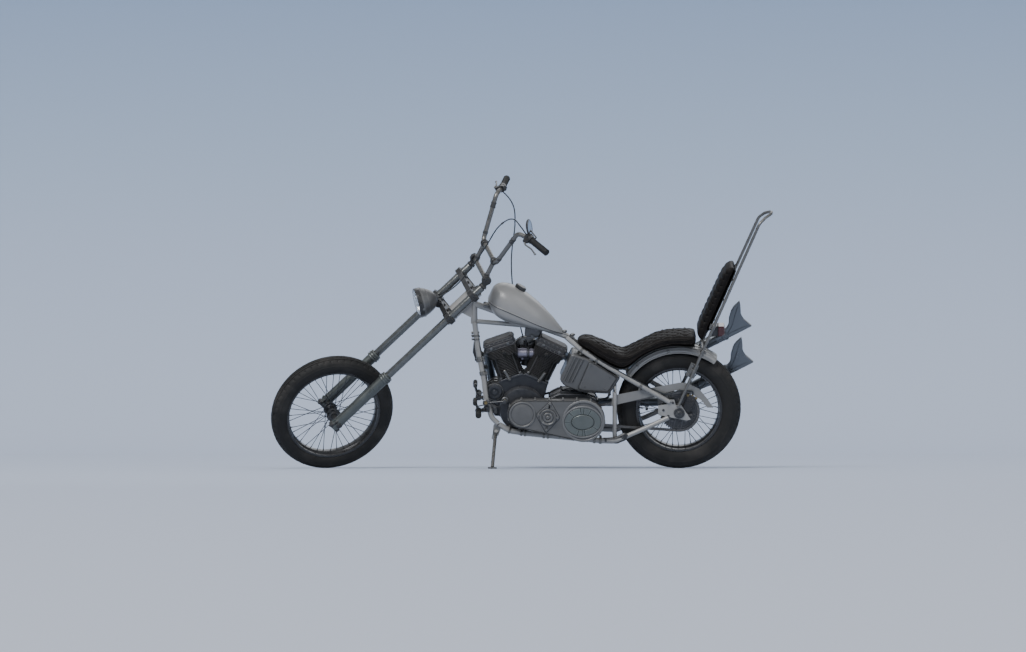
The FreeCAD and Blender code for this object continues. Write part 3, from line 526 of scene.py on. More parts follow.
M["rim"] = mat("rim_dark", (0.055, 0.055, 0.057), 0.30, 0.75, 30, 0.15, 0.05, 900, 0.08, coat=0.2, coat_rough=0.2)
M["brass"] = mat("aged_brass", (0.22, 0.17, 0.08), 0.42, 0.8, 70, 0.2, 0.08, 1200, 0.12)
M["rubber"] = mat("rubber_black", (0.014, 0.014, 0.014), 0.62, 0.0, 60, 0.2, 0.25, 1500, 0.1, spec=0.35)
M["tyre"] = mat("tyre_rubber", (0.0125, 0.012, 0.0115), 0.66, 0.0, 28, 0.25, 0.3, 1300, 0.1, spec=0.32, dirt=0.25)
M["wire"] = mat("cable_sheath", (0.022, 0.026, 0.030), 0.45, 0.0, 50, 0.15, 0.1, 1500, 0.1, spec=0.4)
M["chain"] = mat("chain_steel", (0.13, 0.125, 0.12), 0.36, 0.85, 80, 0.25, 0.1, 1500, 0.12)
M["guard"] = mat("guard_grey", (0.185, 0.183, 0.178), 0.46, 0.10, 20, 0.06, 0.05, 900, 0.06, coat=0.3, coat_rough=0.25)
M["red"] = mat("lamp_red", (0.060, 0.0016, 0.0022), 0.16, 0.0, 50, 0.1, 0.02, 600, 0.04, coat=0.6, coat_rough=0.05)
M["lens_dark"] = mat("lens_dark", (0.02, 0.022, 0.025), 0.08, 0.0, 30, 0.1, 0.01, 300, 0.03, coat=1.0, coat_rough=0.02)
M["reflector"] = mat("reflector", (0.5, 0.5, 0.5), 0.12, 1.0, 30, 0.05, 0.01, 300, 0.04)
M["mirror"] = mat("mirror_glass", (0.62, 0.64, 0.66), 0.04, 1.0, 20, 0.03, 0.0, 300, 0.02)


def glass(name, color=(0.9, 0.93, 0.95), rough=0.03):
    m, n, l, b = new_mat(name)
    b.inputs["Base Color"].default_value = (*color, 1)
    b.inputs["Transmission Weight"].default_value = 1.0
    b.inputs["IOR"].default_value = 1.46
    tc = n.new("ShaderNodeTexCoord")
    no = n.new("ShaderNodeTexNoise")
    no.inputs["Scale"].default_value = 60.0
    l.new(tc.outputs["Object"], no.inputs["Vector"])
    rr = n.new("ShaderNodeMapRange")
    rr.inputs["To Min"].default_value = max(0.0, rough - 0.02)
    rr.inputs["To Max"].default_value = rough + 0.03
    l.new(no.outputs["Fac"], rr.inputs["Value"])
    l.new(rr.outputs["Result"], b.inputs["Roughness"])
    return m


M["glass"] = glass("lamp_glass")


def leather(name, color, line=(0.02, 0.016, 0.014)):
    """Near-black hide: pores, fine creases and worn high spots."""
    m, n, l, b = new_mat(name)
    tc = n.new("ShaderNodeTexCoord")
    vor = n.new("ShaderNodeTexVoronoi")
    vor.feature = "DISTANCE_TO_EDGE"
    vor.inputs["Scale"].default_value = 330.0
    l.new(tc.outputs["Object"], vor.inputs["Vector"])
    no = n.new("ShaderNodeTexNoise")
    no.inputs["Scale"].default_value = 26.0
    no.inputs["Detail"].default_value = 6.0
    l.new(tc.outputs["Object"], no.inputs["Vector"])
    ramp = n.new("ShaderNodeValToRGB")
    ramp.color_ramp.elements[0].position = 0.35
    ramp.color_ramp.elements[1].position = 0.75
    ramp.color_ramp.elements[0].color = (color[0] * 0.7, color[1] * 0.7, color[2] * 0.7, 1)
    ramp.color_ramp.elements[1].color = (color[0] * 1.5, color[1] * 1.45, color[2] * 1.4, 1)
    l.new(no.outputs["Fac"], ramp.inputs["Fac"])
    geo = n.new("ShaderNodeNewGeometry")
    wr = n.new("ShaderNodeMapRange")
    wr.inputs["From Min"].default_value = 0.50
    wr.inputs["From Max"].default_value = 0.58
    wr.inputs["To Max"].default_value = 0.35
    l.new(geo.outputs["Pointiness"], wr.inputs["Value"])
    mix = n.new("ShaderNodeMix")
    mix.data_type = "RGBA"
    l.new(wr.outputs["Result"], mix.inputs["Factor"])
    l.new(ramp.outputs["Color"], mix.inputs["A"])
    mix.inputs["B"].default_value = (0.016, 0.0125, 0.011, 1)
    l.new(mix.outputs["Result"], b.inputs["Base Color"])
    rr = n.new("ShaderNodeMapRange")
    rr.inputs["To Min"].default_value = 0.40
    rr.inputs["To Max"].default_value = 0.62
    l.new(no.outputs["Fac"], rr.inputs["Value"])
    l.new(rr.outputs["Result"], b.inputs["Roughness"])
    crease = n.new("ShaderNodeTexNoise")
    crease.inputs["Scale"].default_value = 90.0
    crease.inputs["Detail"].default_value = 8.0
    l.new(tc.outputs["Object"], crease.inputs["Vector"])
    add = n.new("ShaderNodeMath")
    add.operation = "MULTIPLY_ADD"
    add.inputs[1].default_value = 0.6
    l.new(crease.outputs["Fac"], add.inputs[0])
    l.new(vor.outputs["Distance"], add.inputs[2])
    bp = n.new("ShaderNodeBump")
    bp.inputs["Strength"].default_value = 0.35
    bp.inputs["Distance"].default_value = 0.0008
    l.new(add.outputs[0], bp.inputs["Height"])
    l.new(bp.outputs["Normal"], b.inputs["Normal"])
    b.inputs["Specular IOR Level"].default_value = 0.14
    return m


M["leather"] = leather("seat_leather", (0.0072, 0.0060, 0.0056))
M["thread"] = mat("seam_thread", (0.03, 0.024, 0.02), 0.7, 0.0, 300, 0.2, 0.3, 2500, 0.1)
M["pan"] = mat("seat_pan", (0.02, 0.02, 0.02), 0.6, 0.2, 50, 0.15, 0.15, 900, 0.1)

Y = V3((0, 1, 0))


# ------------------------------------------------------------------ wheels
def tyre_shape(radius, section, seat, flange, half, pitches, zig):
    """A tyre with a cut tread: centre ribs, shoulder blocks and moulded lines on its walls."""
    centre = radius - section
    top = math.degrees(math.acos((seat + flange - centre) / section)) - 0.5
    grooves = [(9, 1.3, 3.2), (26, 1.5, 3.4)]
    marks = set()
    for a in np.arange(0, top, 5.0):
        marks.add(round(float(a), 2))
    marks.add(round(top, 2))
    for g, w, _ in grooves:
        for e in (g - w - 0.5, g - w + 0.4, g, g + w - 0.4, g + w + 0.5):
            marks.add(round(e, 2))
    for e in (17.0, 18.2, 33.5, 35, 47.0, 48.2, 55.0, 56.0, 57.5, 58.5, 71.0, 72.2, 75.2, 76.4):
        if e < top:
            marks.add(e)
    pos = sorted(marks)
    angles = [-a for a in reversed(pos) if a > 0] + pos
    cols_per = 6
    cols = pitches * cols_per
    vs, fs = [], []
    for k in range(cols):
        cell = k % cols_per
        phi0 = 2 * math.pi * k / cols
        for a in angles:
            b = abs(a)
            drop = 0.0
            for g, w, depth in grooves:
                if abs(b - g) < w:
                    drop = depth
            # shoulder cuts run across from the outer groove; they slant with the turn
            if 34 < b < 47.5 and cell in (0,):
                drop = max(drop, 3.4)
            if 47.5 <= b < 55.5 and cell in (0,):
                drop = max(drop, 1.8)
            if 10.5 < b < 24.5 and cell == (3 if a > 0 else 0):
                drop = max(drop, 2.2)
            if b < 7.5 and cell == 5:
                drop = max(drop, 1.2)
            if 56.5 < b < 57.9:
                drop = -0.9
            if 71.5 < b < 75.7:
                drop = -1.1
            rr = section - drop
            lean = zig * (b / top) * (1 if a > 0 else -1)
            phi = phi0 + lean
            ra = centre + rr * math.cos(math.radians(a))
            vs.append(V3((ra * math.cos(phi), rr * math.sin(math.radians(a)), ra * math.sin(phi))))
        # inner side, down to the rim's bed
        for ra, y in ((seat + flange, half - 0.5), (seat + 0.5, half - 1.0), (seat + 0.5, -half + 1.0), (seat + flange, -half + 0.5)):
            lean = zig * (1 if y > 0 else -1)
            vs.append(V3((ra * math.cos(phi0 + lean), y, ra * math.sin(phi0 + lean))))
    m = len(angles) + 4
    for k in range(cols):
        k2 = (k + 1) % cols
        for i in range(m):
            j = (i + 1) % m
            fs.append((k * m + i, k * m + j, k2 * m + j, k2 * m + i))
    return vs, fs


def rim_shape(seat, flange, half):
    t = 3.6
    r1 = seat + flange
    prof = [(r1 - 1.0, half - 0.2), (r1 + 0.6, half + t * 0.5), (r1 - 1.0, half + t), (r1 - 4, half + t + 0.4), (seat - 1, half + t - 0.6),
            (seat - t, half + t - 2.2), (seat - t - 1, half * 0.80), (seat - t - 2, half * 0.62), (seat - 12, half * 0.44), (seat - 13.2, half * 0.36),
            (seat - 13.2, 0), (seat - 13.2, -half * 0.36), (seat - 12, -half * 0.44), (seat - t - 2, -half * 0.62), (seat - t - 1, -half * 0.80),
            (seat - t, -half - t + 2.2), (seat - 1, -half - t + 0.6), (r1 - 4, -half - t - 0.4), (r1 - 1.0, -half - t), (r1 + 0.6, -half - t * 0.5),
            (r1 - 1.0, -half + 0.2), (seat + 0.5, -half + 1.5), (seat - 8, -half * 0.3), (seat - 8, half * 0.3), (seat + 0.5, half - 1.5)]
    return ring(prof, (0, 0, 0), Y, 144)


def spoke_shapes(count, seat, hub_r, hub_y):
    wires, nipples = [], []
    rim_in = seat - 13
    for i in range(count):
        a = 2 * math.pi * i / count
        side = 1 if i % 2 else -1
        lead = math.radians(38) * (1 if (i // 2) % 2 else -1)
        p = V3((hub_r * math.cos(a + lead), side * hub_y, hub_r * math.sin(a + lead)))
        q = V3((rim_in * math.cos(a), side * 4.0, rim_in * math.sin(a)))
        d = (q - p).normalized()
        elbow = p - V3((0, side * 5.0, 0))
        wires.append(tube([elbow, p + d * 0.5, p + d * 6, q - d * 10], [1.8, 1.9, 1.75, 1.75], 8))
        wires.append(ball(p + V3((0, side * 2.2, 0)), 3.0, 10))
        nipples.append(lathe([(0, 0), (1.9, 0), (2.6, 1.5), (2.6, 13), (3.9, 15), (3.9, 17.5), (0, 17.5)], q - d * 15, d, 10))
    return wires, nipples


def drilled_flange(r, y, t, count, hole_ring, boss):
    """A hub flange with a scalloped edge."""
    out = []
    for k in range(count * 6):
        a = 360.0 * k / (count * 6)
        w = 1.0 if (k % 6) in (0, 1, 5) else 0.0
        out.append(((r - 2.0 + 2.0 * w) * math.cos(math.radians(a)), (r - 2.0 + 2.0 * w) * math.sin(math.radians(a))))
    return soft_prism(out, y - t / 2, y + t / 2, 0.8)


# front wheel
F_SEAT, F_FLANGE, F_HALF = 249.0, 8.0, 34.0
piece("front_tyre_cut", [tyre_shape(334.0, 48.0, F_SEAT, F_FLANGE, F_HALF, 54, 0.022)], FORK, "front_wheel", M["tyre"], ["front_tyre"], sharp=40)
wires, nips = spoke_shapes(40, F_SEAT, 35.5, 36.5)
valve = [rod((0, 14, 236), (0, 15, 222), 3.2, 12), rod((0, 15, 222), (0, 15.5, 212), 2.6, 12)]
piece("front_rim_turned", [rim_shape(F_SEAT, F_FLANGE, F_HALF)], FORK, "front_wheel", M["rim"], ["front_rim"], sharp=40)
piece("front_spoke_wires", wires, FORK, "front_wheel", M["spoke"], ["front_spokes"])
piece("front_nipples", nips + [moved(v, Matrix.Identity(4)) for v in valve], FORK, "front_wheel", M["dark_steel"])
hub = [lathe([(11.5, -52), (20, -52), (21.8, -50.5), (21.8, -42), (26, -40), (26, -34), (19.5, -27), (17.5, -20), (16.5, 0), (17.5, 20), (19.5, 27), (26, 34),
              (26, 40), (21.8, 42), (21.8, 50.5), (20, 52), (11.5, 52)], (0, 0, 0), Y, 40),
       drilled_flange(38, -36, 4.5, 20, 35, 24), drilled_flange(38, 36, 4.5, 20, 35, 24)]
for k in range(3):
    hub.append(torus((0, -46 + 46 * k if k != 1 else 0, 0), Y, 21.8 if k != 1 else 17.2, 1.4, 40, 8))
for k in range(6):
    a = math.radians(60 * k)
    for sgn in (1, -1):
        hub.append(bolt((30.5 * math.cos(a), sgn * 38.4, 30.5 * math.sin(a)), (0, sgn, 0), 3.4, 2.6, False))
piece("front_hub_turned", hub, FORK, "front_wheel", M["dark_steel"], ["front_hub"])

# rear wheel
R_SEAT, R_FLANGE, R_HALF = 222.0, 10.0, 47.0
piece("rear_tyre_cut", [tyre_shape(332.0, 65.0, R_SEAT, R_FLANGE, R_HALF, 50, 0.026)], REAR, "rear_wheel", M["tyre"], ["rear_tyre"], sharp=40)
piece("rear_rim_turned", [rim_shape(R_SEAT, R_FLANGE, R_HALF)], REAR, "rear_wheel", M["rim"], ["rear_rim"], sharp=40)
wires, nips = spoke_shapes(40, R_SEAT, 48.0, 49.0)
piece("rear_spoke_wires", wires, REAR, "rear_wheel", M["spoke"], ["rear_spokes"])
piece("rear_nipples", nips + [rod((206, 14, 0), (190, 15, 0), 3.0, 12)], REAR, "rear_wheel", M["dark_steel"])
hub = [lathe([(12.5, -66), (27, -66), (29.5, -64), (29.5, -54), (37, -52), (37, -46), (28, -39), (25, -24), (24, 0), (25, 24), (28, 39), (37, 46),
              (37, 52), (34, 56), (34, 82), (30, 92), (12.5, 92)], (0, 0, 0), Y, 48),
       drilled_flange(51, -49, 5.5, 20, 48, 30), drilled_flange(51, 49, 5.5, 20, 48, 30)]
for k in range(4):
    hub.append(torus((0, -30 + 20 * k, 0), Y, 25.0, 1.2, 40, 8))
piece("rear_hub_turned", hub, REAR, "rear_wheel", M["case"], ["rear_hub"])
# sprocket: teeth round a spidered plate
teeth = []
TEETH = 48
for k in range(TEETH):
    a0 = 360.0 * k / TEETH
    for da, r in ((0.0, 97.5), (1.2, 101.5), (2.4, 105.5), (3.4, 106.0), (4.4, 105.5), (5.6, 101.5), (6.6, 97.5)):
        a = math.radians(a0 + da * 7.5 / 7.5)
        teeth.append((r * math.cos(a), r * math.sin(a)))
sprocket = [soft_prism(teeth, 81.6, 88.0, 1.2)]
for k in range(5):
    a = math.radians(72 * k + 18)
    sprocket.append(bolt((62 * math.cos(a), 88.0, 62 * math.sin(a)), Y, 7.5, 5.0))
    sprocket.append(torus((82 * math.cos(a + 0.6), 88.0, 82 * math.sin(a + 0.6)), Y, 9.0, 1.6, 24, 8))
sprocket.append(torus((0, 88.4, 0), Y, 90, 1.6, 64, 8))
sprocket.append(torus((0, 88.4, 0), Y, 44, 2.2, 48, 8))
piece("rear_sprocket", sprocket, REAR, "rear_wheel", M["dark_steel"])

# ------------------------------------------------------------------ fork
TRACK = 127.0
S3 = V3((0, 0, 1))
parts = []
for s in (1, -1):
    parts.append(lathe([(0, 200), (19.5, 200), (20.5, 202), (20.5, 814), (20.5, 1068), (19.5, 1072), (15, 1074.6), (0, 1074.6)], (0, TRACK * s, 0), S3, 40))
piece("fork_legs", parts, FORK, "fork", M["fork_tube"], ["fork_tubes"])
parts = []
for s in (1, -1):
    parts.append(lathe([(0, -38), (18, -38), (23.5, -35), (26.5, -28), (28, -14), (28, 336), (30, 339), (33.2, 340), (34, 341.5), (34, 346), (33.2, 347.5),
                        (31, 348.5), (31, 352.5), (33.2, 353.5), (34, 355), (34, 359), (33.2, 360.5), (30, 361.5), (30, 365), (31.5, 366), (32, 370), (30, 374),
                        (24, 375), (21.2, 375), (21.2, 330), (0, 330)], (0, TRACK * s, 0), S3, 48))
    # a cast rib down the front and the drain boss at its foot
    parts.append(slab((27.0, TRACK * s, 70), (7, 9, 150), r=3))
    parts.append(rod((20, (TRACK + 6) * s, 6), (33.5, (TRACK + 6) * s, 6), 6, 18))
piece("fork_slider_cast", parts, FORK, "fork", M["fork"], ["fork_sliders"], bevel=0.5)
parts = []
for s in (1, -1):
    # axle clamp: a split cap with two studs
    parts.append(ring([(9.4, -24), (21.5, -24), (23.5, -22), (23.5, 22), (21.5, 24), (9.4, 24)], (0, TRACK * s, 0), Y, 40))
    parts.append(slab((0, TRACK * s, -25), (58, 44, 22), r=5))
    for fx in (-22, 22):
        parts.append(rod((fx, TRACK * s, -40), (fx, TRACK * s, -8), 5, 16))
        parts.append(hexa((fx, TRACK * s, -41.5), (0, 0, 1), 7, 5))
    parts.append(rod((0, 155.2 * s, 0), (0, 163.8 * s, 0), 13.0, 24))
    parts.append(hexa((0, 156 * s, 0), (0, s, 0), 15.0, 9.0))
    for z in (343.7, 357.0):
        parts.append(torus((0, TRACK * s, z + 3.6), S3, 31.5, 1.2, 40, 8))
    parts.append(rod((0, 99.0 * s, 0), (0, 52.6 * s, 0), 13.8, 28))
    parts.append(torus((0, 60 * s, 0), Y, 14, 1.2, 28, 8))
parts.append(rod((0, -166, 0), (0, 166, 0), 8.95, 28))
piece("front_axle_fittings", parts, FORK, "fork", M["black"], ["front_axle"], bevel=0.4)


def yoke(z, h, top):
    """A fork clamp: two split bosses on the tubes, one on the stem, and a ribbed bridge."""
    out = []
    c = z + h / 2
    for y in (TRACK, -TRACK):
        out.append(ring([(20.7, 0), (34.5, 0), (36, 1.5), (36, h - 1.5), (34.5, h), (20.7, h)], (0, y, z), S3, 44))
        s = 1 if y > 0 else -1
        # pinch lugs outside each tube, with their bolts
        for dz in (-8, 8):
            out.append(slab((-2, y + 34 * s, c + dz), (26, 14, 10), r=3))
        out.append(rod((-2, y + 36 * s, z - 3), (-2, y + 36 * s, z + h + 3), 4.2, 14))
        out.append(hexa((-2, y + 36 * s, z + h + 2), S3, 7, 5))
        out.append(hexa((-2, y + 36 * s, z - 2), -S3, 7, 5))
        out.append(torus((0, y, z + 4), S3, 36, 1.0, 40, 6))
        out.append(torus((0, y, z + h - 4), S3, 36, 1.0, 40, 6))
    out.append(ring([(13.2, 0), (34.5, 0), (36, 1.5), (36, h - 1.5), (34.5, h), (13.2, h)], (-64, 0, z), S3, 44))
    web = corner_round([(26, -112), (26, 112), (-28, 118), (-90, 30), (-90, -30), (-28, -118)], 14, 5)
    out.append(soft_prism(web, z + 6, z + h - 6, 2.0, "xy"))
    rim = corner_round([(29, -104), (29, 104), (21, 108), (21, -108)], 3, 2)
    out.append(soft_prism(rim, z + 1.5, z + h - 1.5, 1.0, "xy"))
    for y in (-62, 0, 62):
        out.append(rod((6, y, z + 4), (6, y, z + h - 2), 9.5, 24))
        out.append(bolt((6, y, z + h - 2.5), S3, 6.5, 5))
    for s in (1, -1):
        out.append(soft_prism(corner_round([(-30, 112 * s), (-24, 116 * s), (-84, 30 * s), (-92, 28 * s)], 2, 2), z + 1.5, z + h - 1.5, 1.0, "xy"))
    if top:
        out.append(lathe([(0, 0), (22, 0), (22, 3), (18, 5), (18, 9), (0, 9)], (-64, 0, z + h), S3, 32))
        out.append(hexa((-64, 0, z + h + 5), S3, 18, 14))
        out.append(lathe([(0, 0), (12.6, 0), (12.6, 10), (10, 13), (0, 13)], (-64, 0, z + h + 10), S3, 28))
    else:
        out.append(rod((-64, 0, z - 9), (-64, 0, z + 1), 19, 32))
        out.append(hexa((-64, 0, z - 14), S3, 15, 8))
    return out


piece("lower_yoke", yoke(815, 30, False) + [rod((-64, 0, 846), (-64, 0, 1000), 12.9, 28)], FORK, "fork", M["black"], ["lower_clamp"], bevel=0.4)
piece("upper_yoke", yoke(992, 30, True), FORK, "fork", M["black"], ["upper_clamp"], bevel=0.4)

# ------------------------------------------------------------------ bars
BAR = [(61, 431, 1500), (117, 296, 1471), (151, 232, 1439), (53, 136, 1218)]
half_bar = rounded(BAR, 42, 12)
bar_path = rounded(BAR + [(x, -y, z) for x, y, z in reversed(BAR)], 40, 12)
parts = [tube(bar_path, 12.6, 28), rod((13, -140, 1117), (13, 140, 1117), 12.6, 28)]
for s in (1, -1):
    parts.append(tube([(13, 104 * s, 1117), (53, 104 * s, 1218)], 12.5, 28))
piece("handlebar_tube", parts, FORK, "fork", M["bar"], ["handlebar"])


def along(points, t):
    """A point part way along a run of points, and the direction there."""
    pts = [V3(p) for p in points]
    lens = [(b - a).length for a, b in zip(pts, pts[1:])]
    left = t * sum(lens)
    for a, b, L in zip(pts, pts[1:], lens):
        if left <= L:
            return a + (b - a) * (left / L), (b - a).normalized()
        left -= L
    return pts[-1], (pts[-1] - pts[-2]).normalized()


parts = []
for s in (1, -1):
    up0, up1 = V3((53, 136 * s, 1218)), V3((151, 232 * s, 1439))
    d = (up1 - up0).normalized()
    # sleeves with dark edges on the uprights, and ring joints at the knees
    for t, w, r in ((0.16, 5, 14.6), (0.19, 3, 14.0), (0.72, 5, 15.2), (0.76, 12, 13.9), (0.80, 5, 15.2)):
        p = up0 + (up1 - up0) * t
        parts.append(ring([(12.5, -w), (r - 0.8, -w), (r, -w + 1), (r, w - 1), (r - 0.8, w), (12.5, w)], p, d, 32))
    for y, t in ((112, 0), (97, 1)):
        parts.append(torus((53, y * s, 1218), Y, 15.5, 5.5 if t == 0 else 3.5, 32, 12))
    parts.append(rod((53, 90 * s, 1218), (53, 119 * s, 1218), 18.5, 36))
    parts.append(torus((53, 104 * s, 1218), Y, 19, 3.0, 40, 10))
    for a in range(6):
        an = math.radians(60 * a + 20)
        parts.append(screw((53 + 13.5 * math.cos(an), 119 * s, 1218 + 13.5 * math.sin(an)), (0, s, 0), 2.6, 2.4))
    # collar where each leg meets the lower tube
    parts.append(ring([(12.5, -7), (15.5, -6), (16, 0), (15.5, 6), (12.5, 7)], (20.5, 104 * s, 1136), V3((40, 0, 101)), 32))
piece("bar_joints", parts, FORK, "fork", M["black"])

parts = []
for s in (1, -1):
    base, top = V3((0, TRACK * s, 1075.4)), V3((11, TRACK * s, 1110))
    parts.append(lathe([(0, 0), (21, 0), (22, 2), (22, 7), (19, 10), (16.5, 14), (16.5, 30), (19, 36), (0, 36)], base, top - base, 36))
    parts.append(torus(base + V3((0, 0, 5)), S3, 22, 1.6, 40, 8))
    parts.append(ring([(13, -10.5), (22, -10.5), (24, -8.5), (24, 8.5), (22, 10.5), (13, 10.5)], (13, 127.5 * s, 1117), Y, 40))
    for y in (119.5, 135.5):
        parts.append(torus((13, y * s, 1117), Y, 24, 1.4, 40, 8))
    # the knobbed cap over the lower tube, with its four studs
    parts.append(lathe([(0, 0), (20, 0), (22.5, 2), (22.5, 5), (16, 8), (0, 9)], (13, 138 * s, 1117), (0, s, 0), 36))
    for k in range(8):
        a = math.radians(45 * k)
        parts.append(rod((13 + 22 * math.cos(a), 132 * s, 1117 + 22 * math.sin(a)), (13 + 22 * math.cos(a), 142 * s, 1117 + 22 * math.sin(a)), 3.4, 12))
    parts.append(bolt((13, 146 * s, 1117), (0, s, 0), 7, 4))
piece("riser_pair", parts, FORK, "fork", M["black"], ["handlebar_risers"], bevel=0.3)

# grips: raised ribs between end flanges
parts, ctrl, ctrl_metal = [], [], []
for s in (1, -1):
    a, b = V3((117, 296 * s, 1471)), V3((61, 431 * s, 1500))
    d = (b - a).normalized()
    full = (b - a).length
    p0 = a + d * (full - 121)
    prof = [(12.7, 0), (18.2, 0), (18.5, 1.5), (18.5, 5), (16.6, 6.5)]
    h = 9.0
    while h < 112:
        prof += [(16.2, h), (17.9, h + 1.3), (18.2, h + 3.2), (17.9, h + 5.1), (16.2, h + 6.4)]
        h += 8.3
    prof += [(16.4, 117), (18.5, 118.5), (18.5, 122.5), (17, 124.6), (0, 125)]
    parts.append(lathe([(0, 0)] + prof, p0, d, 40))
    # perch, switch box, master block and its clamp
    n = V3((0.55, 0, -0.83)).normalized()
    m = d.cross(n).normalized()
    c0 = a + d * (full - 137)
    ctrl.append(ring([(12.7, -11), (19.5, -11), (21, -9.5), (21, 9.5), (19.5, 11), (12.7, 11)], c0, d, 36))
    ctrl.append(slab(c0 + n * 19, (26, 22, 30), (d, m, n), 4))
    ctrl.append(slab(c0 + n * 33 + d * 4, (22, 16, 16), (d, m, n), 3))
    ctrl.append(rod(c0 + n * 33 + d * 4 - m * 12, c0 + n * 33 + d * 4 + m * 12, 5.5, 18))
    box = a + d * (full - 162)
    ctrl.append(ring([(12.7, -9), (18.5, -9), (20, -7.5), (20, 7.5), (18.5, 9), (12.7, 9)], box, d, 36))
    ctrl.append(slab(box - n * 17, (24, 26, 18), (d, m, n), 4))
    ctrl.append(rod(box - n * 17 - m * 17, box - n * 17 - m * 12, 5, 16))
    ctrl.append(slab(box - n * 27, (14, 9, 5), (d, m, n), 2))
    for e in (-7, 7):
        ctrl_metal.append(screw(c0 + m * 20.6 + d * e, m, 2.8, 2.6))
        ctrl_metal.append(screw(box + m * 19.6 + d * e * 0.8, m, 2.4, 2.4))
    # the blade: a curved lever that flattens towards its ball end
    root, knee, tip = c0 + n * 33 + d * 6, a + d * (full - 112) + n * 50, a + d * (full - 10) + n * 57
    path = rounded([root, knee, a + d * (full - 60) + n * 46, tip], 40, 8)
    rs = [5.5 if i < 4 else 4.3 for i in range(len(path))]
    ctrl_metal.append(tube(path, rs, 16))
    ctrl_metal.append(ball(tip, 6.5, 16))
piece("grip_pair_ribbed", parts, FORK, "fork", M["rubber"], ["handlebar_grips"])

# mirror: stem, oval shell and its glass
a, b = V3((117, 296, 1471)), V3((61, 431, 1500))
d = (b - a).normalized()
c0 = a + d * ((b - a).length - 137)
mirror_at = V3((140, 250, 1506))
rot = FORK.to_3x3().normalized().inverted()
face = (rot @ V3((-0.95, 0.28, 0.12))).normalized()
mside = face.cross(V3((0, 1, 0.3))).normalized()
mup = mside.cross(face).normalized()
ctrl.append(tube(rounded([c0 - V3((0.55, 0, -0.83)) * 14, c0 - V3((0.55, 0, -0.83)) * 34, mirror_at - face * 14 - mup * 18, mirror_at - face * 6], 16, 6), 4.0, 14))
ctrl.append(ball(mirror_at - face * 9 - mup * 6, 8.0, 16))


def dish(centre, ax, up, along_dir, ra, rb, prof, n=48):
    """An oval turned shape: prof gives (share of the radius, height)."""
    vs, fs = [], []
    for sh, h in prof:
        for k in range(n):
            an = 2 * math.pi * k / n
            vs.append(centre + ax * (ra * sh * math.cos(an)) + up * (rb * sh * math.sin(an)) + along_dir * h)
    for i in range(len(prof) - 1):
        for k in range(n):
            k2 = (k + 1) % n
            fs.append((i * n + k, i * n + k2, (i + 1) * n + k2, (i + 1) * n + k))
    fs.append(tuple(range(n)))
    fs.append(tuple((len(prof) - 1) * n + k for k in range(n)))
    return vs, fs


ctrl.append(dish(mirror_at, mside, mup, face, 45, 45, [(0.15, -13), (0.5, -11.5), (0.8, -8), (0.95, -4), (1.0, 0), (1.0, 4.2), (0.97, 5.2), (0.93, 5.2), (0.92, 4.2)]))
piece("control_bodies", ctrl, FORK, "fork", M["black"], ["hand_controls"], bevel=0.3)
piece("control_levers", ctrl_metal, FORK, "fork", M["bar"])
piece("mirror_face", [dish(mirror_at, mside, mup, face, 41.6, 41.6, [(1.0, 3.6), (1.0, 4.6), (0.98, 4.9), (0.5, 4.75)])], FORK, "fork", M["mirror"])

# ------------------------------------------------------------------ headlamp
lamp_c = V3((130, 0, 748))
aim = V3((0.557, 0, -0.83)).normalized()
hr = 80.0
shell = ring([(hr - 1, -4), (hr, -6), (hr, -30), (hr - 3, -37), (hr - 9, -52), (hr - 20, -74), (hr - 33, -92), (hr - 52, -106), (18, -112), (0.5, -113),
              (0.5, -108), (17, -107), (hr - 54, -101), (hr - 36, -88), (hr - 24, -71), (hr - 13, -50), (hr - 7, -36), (hr - 4, -28), (hr - 4, -4)], lamp_c, aim, 72)
parts = [shell]
for h, r in ((-33, 79.6), (-58, 68.2)):
    parts.append(torus(lamp_c + aim * h, aim, r, 1.3, 64, 8))
u_side = V3((0, 1, 0))
u_up = aim.cross(u_side).normalized()
for s in (1, -1):
    parts.append(bolt(lamp_c + u_side * (s * 77) + aim * -22, u_side * s, 7, 3))
piece("headlamp_bucket", parts, FORK, "fork", M["panel"], ["headlight"])
ringp = ring([(hr - 8, -2), (hr - 6, 0), (hr - 1.5, 0), (hr + 0.5, -2), (hr + 0.5, -24), (hr - 1, -27), (hr - 4, -27), (hr - 8, -8)], lamp_c, aim, 72)
parts = [ringp, torus(lamp_c + aim * -13, aim, hr + 0.2, 1.4, 64, 8), torus(lamp_c + aim * -1, aim, hr - 5, 1.2, 64, 8)]
parts.append(slab(lamp_c - u_up * (hr - 2) + aim * -14, (10, 12, 6), (aim, u_side, u_up), 2))
parts.append(screw(lamp_c - u_up * (hr - 3) + aim * -14, -u_up, 3, 3))
# bracket from the yoke: a forked plate and a pivot bolt
arm = corner_round([(24, 812), (60, 800), (74, 772), (92, 776), (86, 812), (66, 836), (24, 842)], 5, 3)
for y in (-17, 11):
    parts.append(soft_prism(arm, y, y + 6, 1.0))
parts.append(rod((40, -16, 828), (40, 16, 828), 7, 20))
parts.append(rod((78, -19, 796), (78, 19, 796), 6, 20))
parts.append(hexa((78, 16, 796), (0, 1, 0), 9, 6))
parts.append(hexa((78, -16, 796), (0, -1, 0), 9, 6))
parts.append(rod(lamp_c + aim * -112, lamp_c + aim * -100, 16, 28))
piece("headlamp_rim", parts, FORK, "fork", M["black"], bevel=0.3)
bowl = ring([(hr - 9, -6), (hr - 12, -20), (hr - 24, -46), (hr - 42, -66), (16, -78), (0.5, -80), (0.5, -82), (17, -80.5), (hr - 41, -69), (hr - 22, -48), (hr - 9.5, -20), (hr - 7, -8)], lamp_c, aim, 64)
